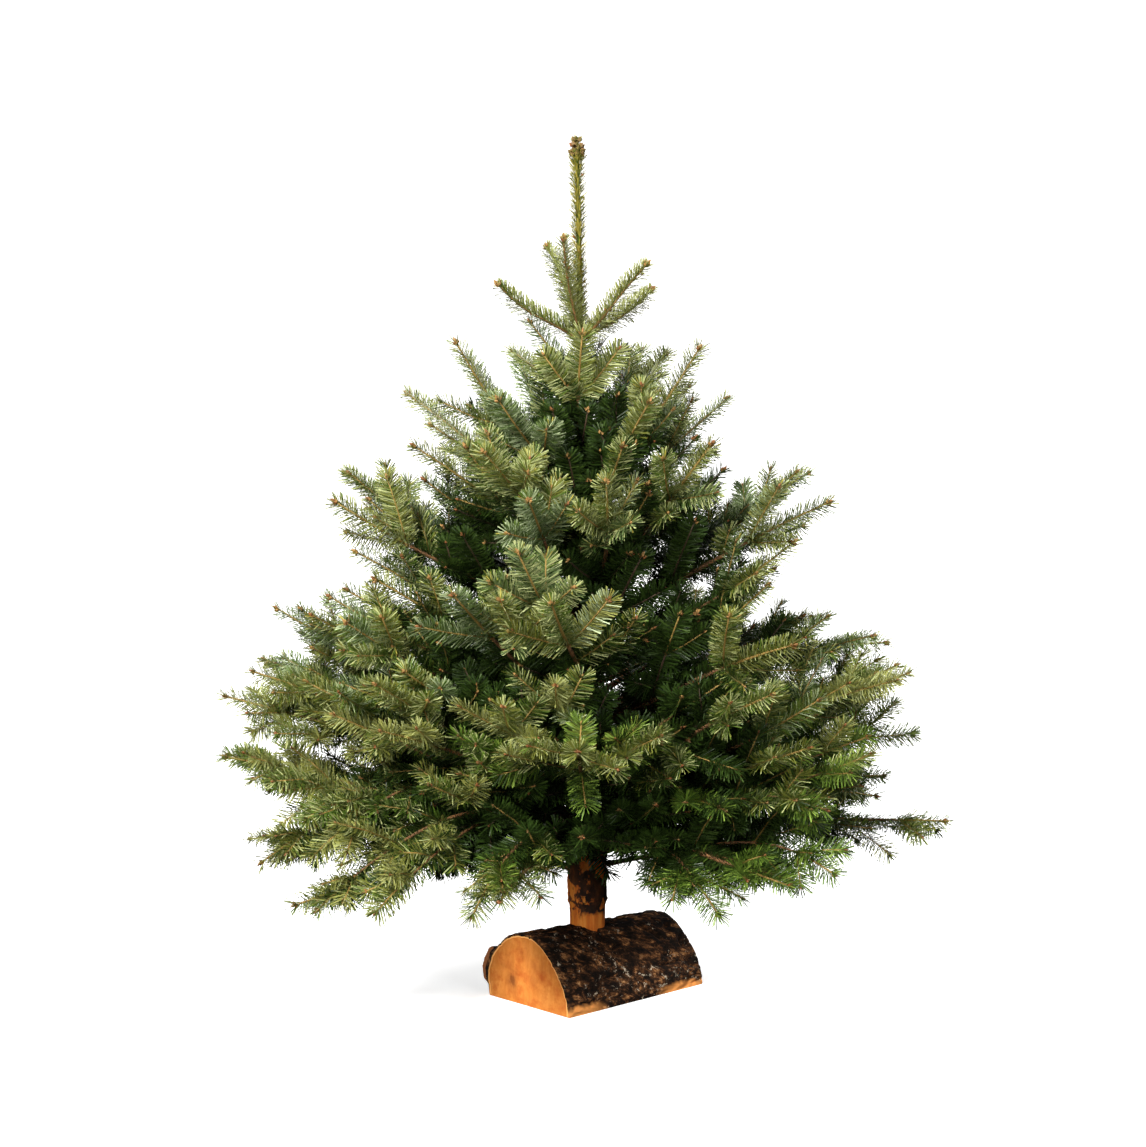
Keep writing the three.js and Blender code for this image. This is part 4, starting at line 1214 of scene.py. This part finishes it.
def log_bark_material():
    m = bpy.data.materials.new("log_bark")
    m.use_nodes = True
    nt, nodes, links = node_tree(m)
    b = nodes["Principled BSDF"]
    co = nodes.new("ShaderNodeTexCoord")
    turn = (0, 0, -LOG_YAW)
    streak = texture(nodes, links, "ShaderNodeTexNoise", 78, co, 9, 0.74, ((0.36, 1, 1), turn))
    fine = texture(nodes, links, "ShaderNodeTexNoise", 330, co, 4, 0.6, ((0.4, 1, 1), turn))
    base = ramp(nodes, [(0.39, srgb(10, 6, 3)), (0.49, srgb(32, 19, 10)), (0.56, srgb(88, 57, 33)),
                        (0.63, srgb(158, 113, 72)), (0.74, srgb(190, 156, 114))])
    links.new(streak.outputs["Fac"], base.inputs["Fac"])
    speck = ramp(nodes, [(0.40, srgb(70, 66, 62)), (0.60, srgb(206, 200, 192))])
    links.new(fine.outputs["Fac"], speck.inputs["Fac"])
    colour = mix(nodes, links, 0.75, base.outputs["Color"], speck.outputs["Color"], "OVERLAY")
    # lichen flecks, most of them towards the far end
    fleck = texture(nodes, links, "ShaderNodeTexNoise", 118, co, 7, 0.78)
    patch = texture(nodes, links, "ShaderNodeTexNoise", 22, co, 3, 0.6)
    fm = ramp(nodes, [(0.580, (0, 0, 0, 1)), (0.615, (1, 1, 1, 1))])
    links.new(fleck.outputs["Fac"], fm.inputs["Fac"])
    pm = ramp(nodes, [(0.49, (0.0, 0.0, 0.0, 1)), (0.58, (0.9, 0.9, 0.9, 1))])
    links.new(patch.outputs["Fac"], pm.inputs["Fac"])
    lm = mix(nodes, links, 1.0, fm.outputs["Color"], pm.outputs["Color"], "MULTIPLY")
    colour = mix(nodes, links, lm, colour, srgb(206, 190, 164))
    # bare wood where the bark is knocked off at the two lower corners
    sep = nodes.new("ShaderNodeSeparateXYZ")
    links.new(co.outputs["Object"], sep.inputs[0])
    wob = nodes.new("ShaderNodeMath")
    wob.operation = "MULTIPLY_ADD"
    links.new(patch.outputs["Fac"], wob.inputs[0])
    wob.inputs[1].default_value = 0.05
    links.new(sep.outputs["Z"], wob.inputs[2])
    low = ramp(nodes, [(0.0, (1, 1, 1, 1)), (0.034, (1, 1, 1, 1)), (0.036, (0, 0, 0, 1))])
    links.new(wob.outputs[0], low.inputs["Fac"])
    lengthwise = nodes.new("ShaderNodeMapping")
    lengthwise.inputs["Rotation"].default_value = turn
    lengthwise.inputs["Location"].default_value = (0.5 * LOG_LENGTH, 0, 0)
    links.new(co.outputs["Object"], lengthwise.inputs["Vector"])
    sep2 = nodes.new("ShaderNodeSeparateXYZ")
    links.new(lengthwise.outputs["Vector"], sep2.inputs[0])
    corner = ramp(nodes, [(0.0, (1, 1, 1, 1)), (0.045, (1, 1, 1, 1)), (0.075, (0, 0, 0, 1)), (0.175, (0, 0, 0, 1)),
                          (0.205, (1, 1, 1, 1)), (1.0, (1, 1, 1, 1))])
    links.new(sep2.outputs["X"], corner.inputs["Fac"])
    low_mask = mix(nodes, links, 1.0, low.outputs["Color"], corner.outputs["Color"], "MULTIPLY")
    colour = mix(nodes, links, low_mask, colour, srgb(196, 128, 66))
    links.new(colour, b.inputs["Base Color"])
    b.inputs["Roughness"].default_value = 0.92
    b.inputs["Specular IOR Level"].default_value = 0.12
    bump = nodes.new("ShaderNodeBump")
    bump.inputs["Strength"].default_value = 0.7
    bump.inputs["Distance"].default_value = 0.0016
    links.new(fine.outputs["Fac"], bump.inputs["Height"])
    links.new(bump.outputs["Normal"], b.inputs["Normal"])
    m.diffuse_color = srgb(60, 42, 30)
    return m


def end_grain_material():
    m = bpy.data.materials.new("end_grain")
    m.use_nodes = True
    nt, nodes, links = node_tree(m)
    b = nodes["Principled BSDF"]
    co = nodes.new("ShaderNodeTexCoord")
    turn = (0, 0, -LOG_YAW)
    blot = texture(nodes, links, "ShaderNodeTexNoise", 30, co, 6, 0.66, ((1, 1, 0.8), turn))
    fibre = texture(nodes, links, "ShaderNodeTexNoise", 130, co, 5, 0.65, ((1, 1, 0.42), turn))
    saw = texture(nodes, links, "ShaderNodeTexNoise", 60, co, 4, 0.6, ((1, 0.35, 1), turn))
    base = ramp(nodes, [(0.32, srgb(168, 92, 32)), (0.50, srgb(196, 116, 44)), (0.68, srgb(208, 134, 60))])
    links.new(blot.outputs["Fac"], base.inputs["Fac"])
    fr = ramp(nodes, [(0.36, srgb(168, 92, 34)), (0.64, srgb(210, 138, 66))])
    links.new(fibre.outputs["Fac"], fr.inputs["Fac"])
    colour = mix(nodes, links, 0.34, base.outputs["Color"], fr.outputs["Color"])
    # a small knot with checks round it, left of the middle
    spot = nodes.new("ShaderNodeMapping")
    spot.inputs["Rotation"].default_value = turn
    spot.inputs["Location"].default_value = KNOT
    links.new(co.outputs["Object"], spot.inputs["Vector"])
    flat = nodes.new("ShaderNodeMapping")
    flat.inputs["Scale"].default_value = (0, 1, 0.7)
    links.new(spot.outputs["Vector"], flat.inputs["Vector"])
    dist = nodes.new("ShaderNodeVectorMath")
    dist.operation = "LENGTH"
    links.new(flat.outputs["Vector"], dist.inputs[0])
    ragged = nodes.new("ShaderNodeMath")
    ragged.operation = "MULTIPLY_ADD"
    links.new(fibre.outputs["Fac"], ragged.inputs[0])
    ragged.inputs[1].default_value = 0.016
    links.new(dist.outputs["Value"], ragged.inputs[2])
    knot = ramp(nodes, [(0.0, (1, 1, 1, 1)), (0.0115, (0.9, 0.9, 0.9, 1)), (0.0150, (0.35, 0.35, 0.35, 1)), (0.026, (0, 0, 0, 1))])
    links.new(ragged.outputs[0], knot.inputs["Fac"])
    colour = mix(nodes, links, knot.outputs["Color"], colour, srgb(112, 58, 20))
    shade = ramp(nodes, [(0.34, srgb(214, 150, 92)), (0.52, (1, 1, 1, 1))])
    links.new(saw.outputs["Fac"], shade.inputs["Fac"])
    colour = mix(nodes, links, 0.55, colour, shade.outputs["Color"], "MULTIPLY")
    links.new(colour, b.inputs["Base Color"])
    b.inputs["Roughness"].default_value = 0.78
    b.inputs["Specular IOR Level"].default_value = 0.25
    bump = nodes.new("ShaderNodeBump")
    bump.inputs["Strength"].default_value = 0.25
    bump.inputs["Distance"].default_value = 0.0006
    links.new(fibre.outputs["Fac"], bump.inputs["Height"])
    links.new(bump.outputs["Normal"], b.inputs["Normal"])
    m.diffuse_color = srgb(206, 130, 58)
    return m


build_log()


# ---------------------------------------------------------------- floor, light
def build_stage():
    """A round pale floor that sweeps up into a plain bright wall."""
    prof = [(0.02, 0.0), (0.4, 0.0), (0.9, 0.0), (1.6, 0.0), (2.6, 0.0), (3.4, 0.0)]
    for k in range(1, 13):
        a = math.pi / 2 * k / 12
        prof.append((3.4 + 2.0 * math.sin(a), 2.0 * (1 - math.cos(a))))
    prof.append((5.4, 8.0))
    cols = 96
    q = np.arange(cols) * 2 * math.pi / cols
    v = np.array([[r * math.cos(c), r * math.sin(c), z] for r, z in prof for c in q])
    f = np.concatenate([grid_faces(len(prof), cols, True), [[0, c, c + 1] for c in range(1, cols - 1)]])
    me = bpy.data.meshes.new("floor")
    me.from_pydata([tuple(p) for p in v], [], [tuple(int(i) for i in t) for t in f])
    me.polygons.foreach_set("use_smooth", np.full(len(me.polygons), True))
    m = bpy.data.materials.new("floor")
    m.use_nodes = True
    nt, nodes, links = node_tree(m)
    b = nodes["Principled BSDF"]
    b.inputs["Base Color"].default_value = (0.86, 0.86, 0.86, 1)
    b.inputs["Roughness"].default_value = 0.95
    b.inputs["Specular IOR Level"].default_value = 0.0
    # the floor glows a little, and more the further it is from the tree
    co = nodes.new("ShaderNodeTexCoord")
    far = nodes.new("ShaderNodeVectorMath")
    far.operation = "LENGTH"
    links.new(co.outputs["Object"], far.inputs[0])
    glow = nodes.new("ShaderNodeMapRange")
    glow.interpolation_type = "SMOOTHSTEP"
    glow.inputs["From Min"].default_value = 0.35
    glow.inputs["From Max"].default_value = 1.7
    glow.inputs["To Min"].default_value = 0.42
    glow.inputs["To Max"].default_value = 1.05
    links.new(far.outputs["Value"], glow.inputs["Value"])
    b.inputs["Emission Color"].default_value = (1, 1, 1, 1)
    links.new(glow.outputs["Result"], b.inputs["Emission Strength"])
    me.materials.append(m)
    o = bpy.data.objects.new("floor", me)
    # it is seen, and takes the tree's shadow, but throws no light back on it
    o.visible_diffuse = False
    o.visible_glossy = False
    o.visible_shadow = False
    bpy.context.scene.collection.objects.link(o)


def area(name, at, aim, size, watts, colour=(1, 1, 1)):
    d = bpy.data.lights.new(name, "AREA")
    d.shape = "SQUARE"
    d.size = size
    d.energy = watts
    d.color = colour
    o = bpy.data.objects.new(name, d)
    o.location = at
    v = np.array(aim, float) - np.array(at, float)
    from mathutils import Vector
    o.rotation_euler = Vector(v).to_track_quat("-Z", "Y").to_euler()
    bpy.context.scene.collection.objects.link(o)


build_stage()
area("key", (-1.7, -3.6, 2.9), (0, 0, 0.6), 1.1, 565, (1.0, 0.985, 0.95))
area("fill", (2.6, -3.2, 1.5), (0, 0, 0.5), 1.4, 115, (0.98, 0.99, 1.0))
area("foot", (-1.5, -2.6, 0.50), (-0.08, 0, 0.16), 0.8, 44, (1.0, 0.98, 0.94))
area("top", (0.2, 0.3, 3.9), (0, 0, 0.6), 2.0, 80)
area("back_left", (-3.0, 2.6, 2.4), (0, 0, 0.5), 1.6, 130)
area("back_right", (2.8, 2.8, 2.6), (0, 0, 0.5), 1.6, 170)
world = bpy.data.worlds.new("studio")
bpy.context.scene.world = world
world.use_nodes = True
world.node_tree.nodes["Background"].inputs["Color"].default_value = (1.0, 1.0, 1.0, 1)
world.node_tree.nodes["Background"].inputs["Strength"].default_value = 0.035
bpy.context.scene.view_settings.view_transform = "Standard"
bpy.context.scene.view_settings.look = "None"
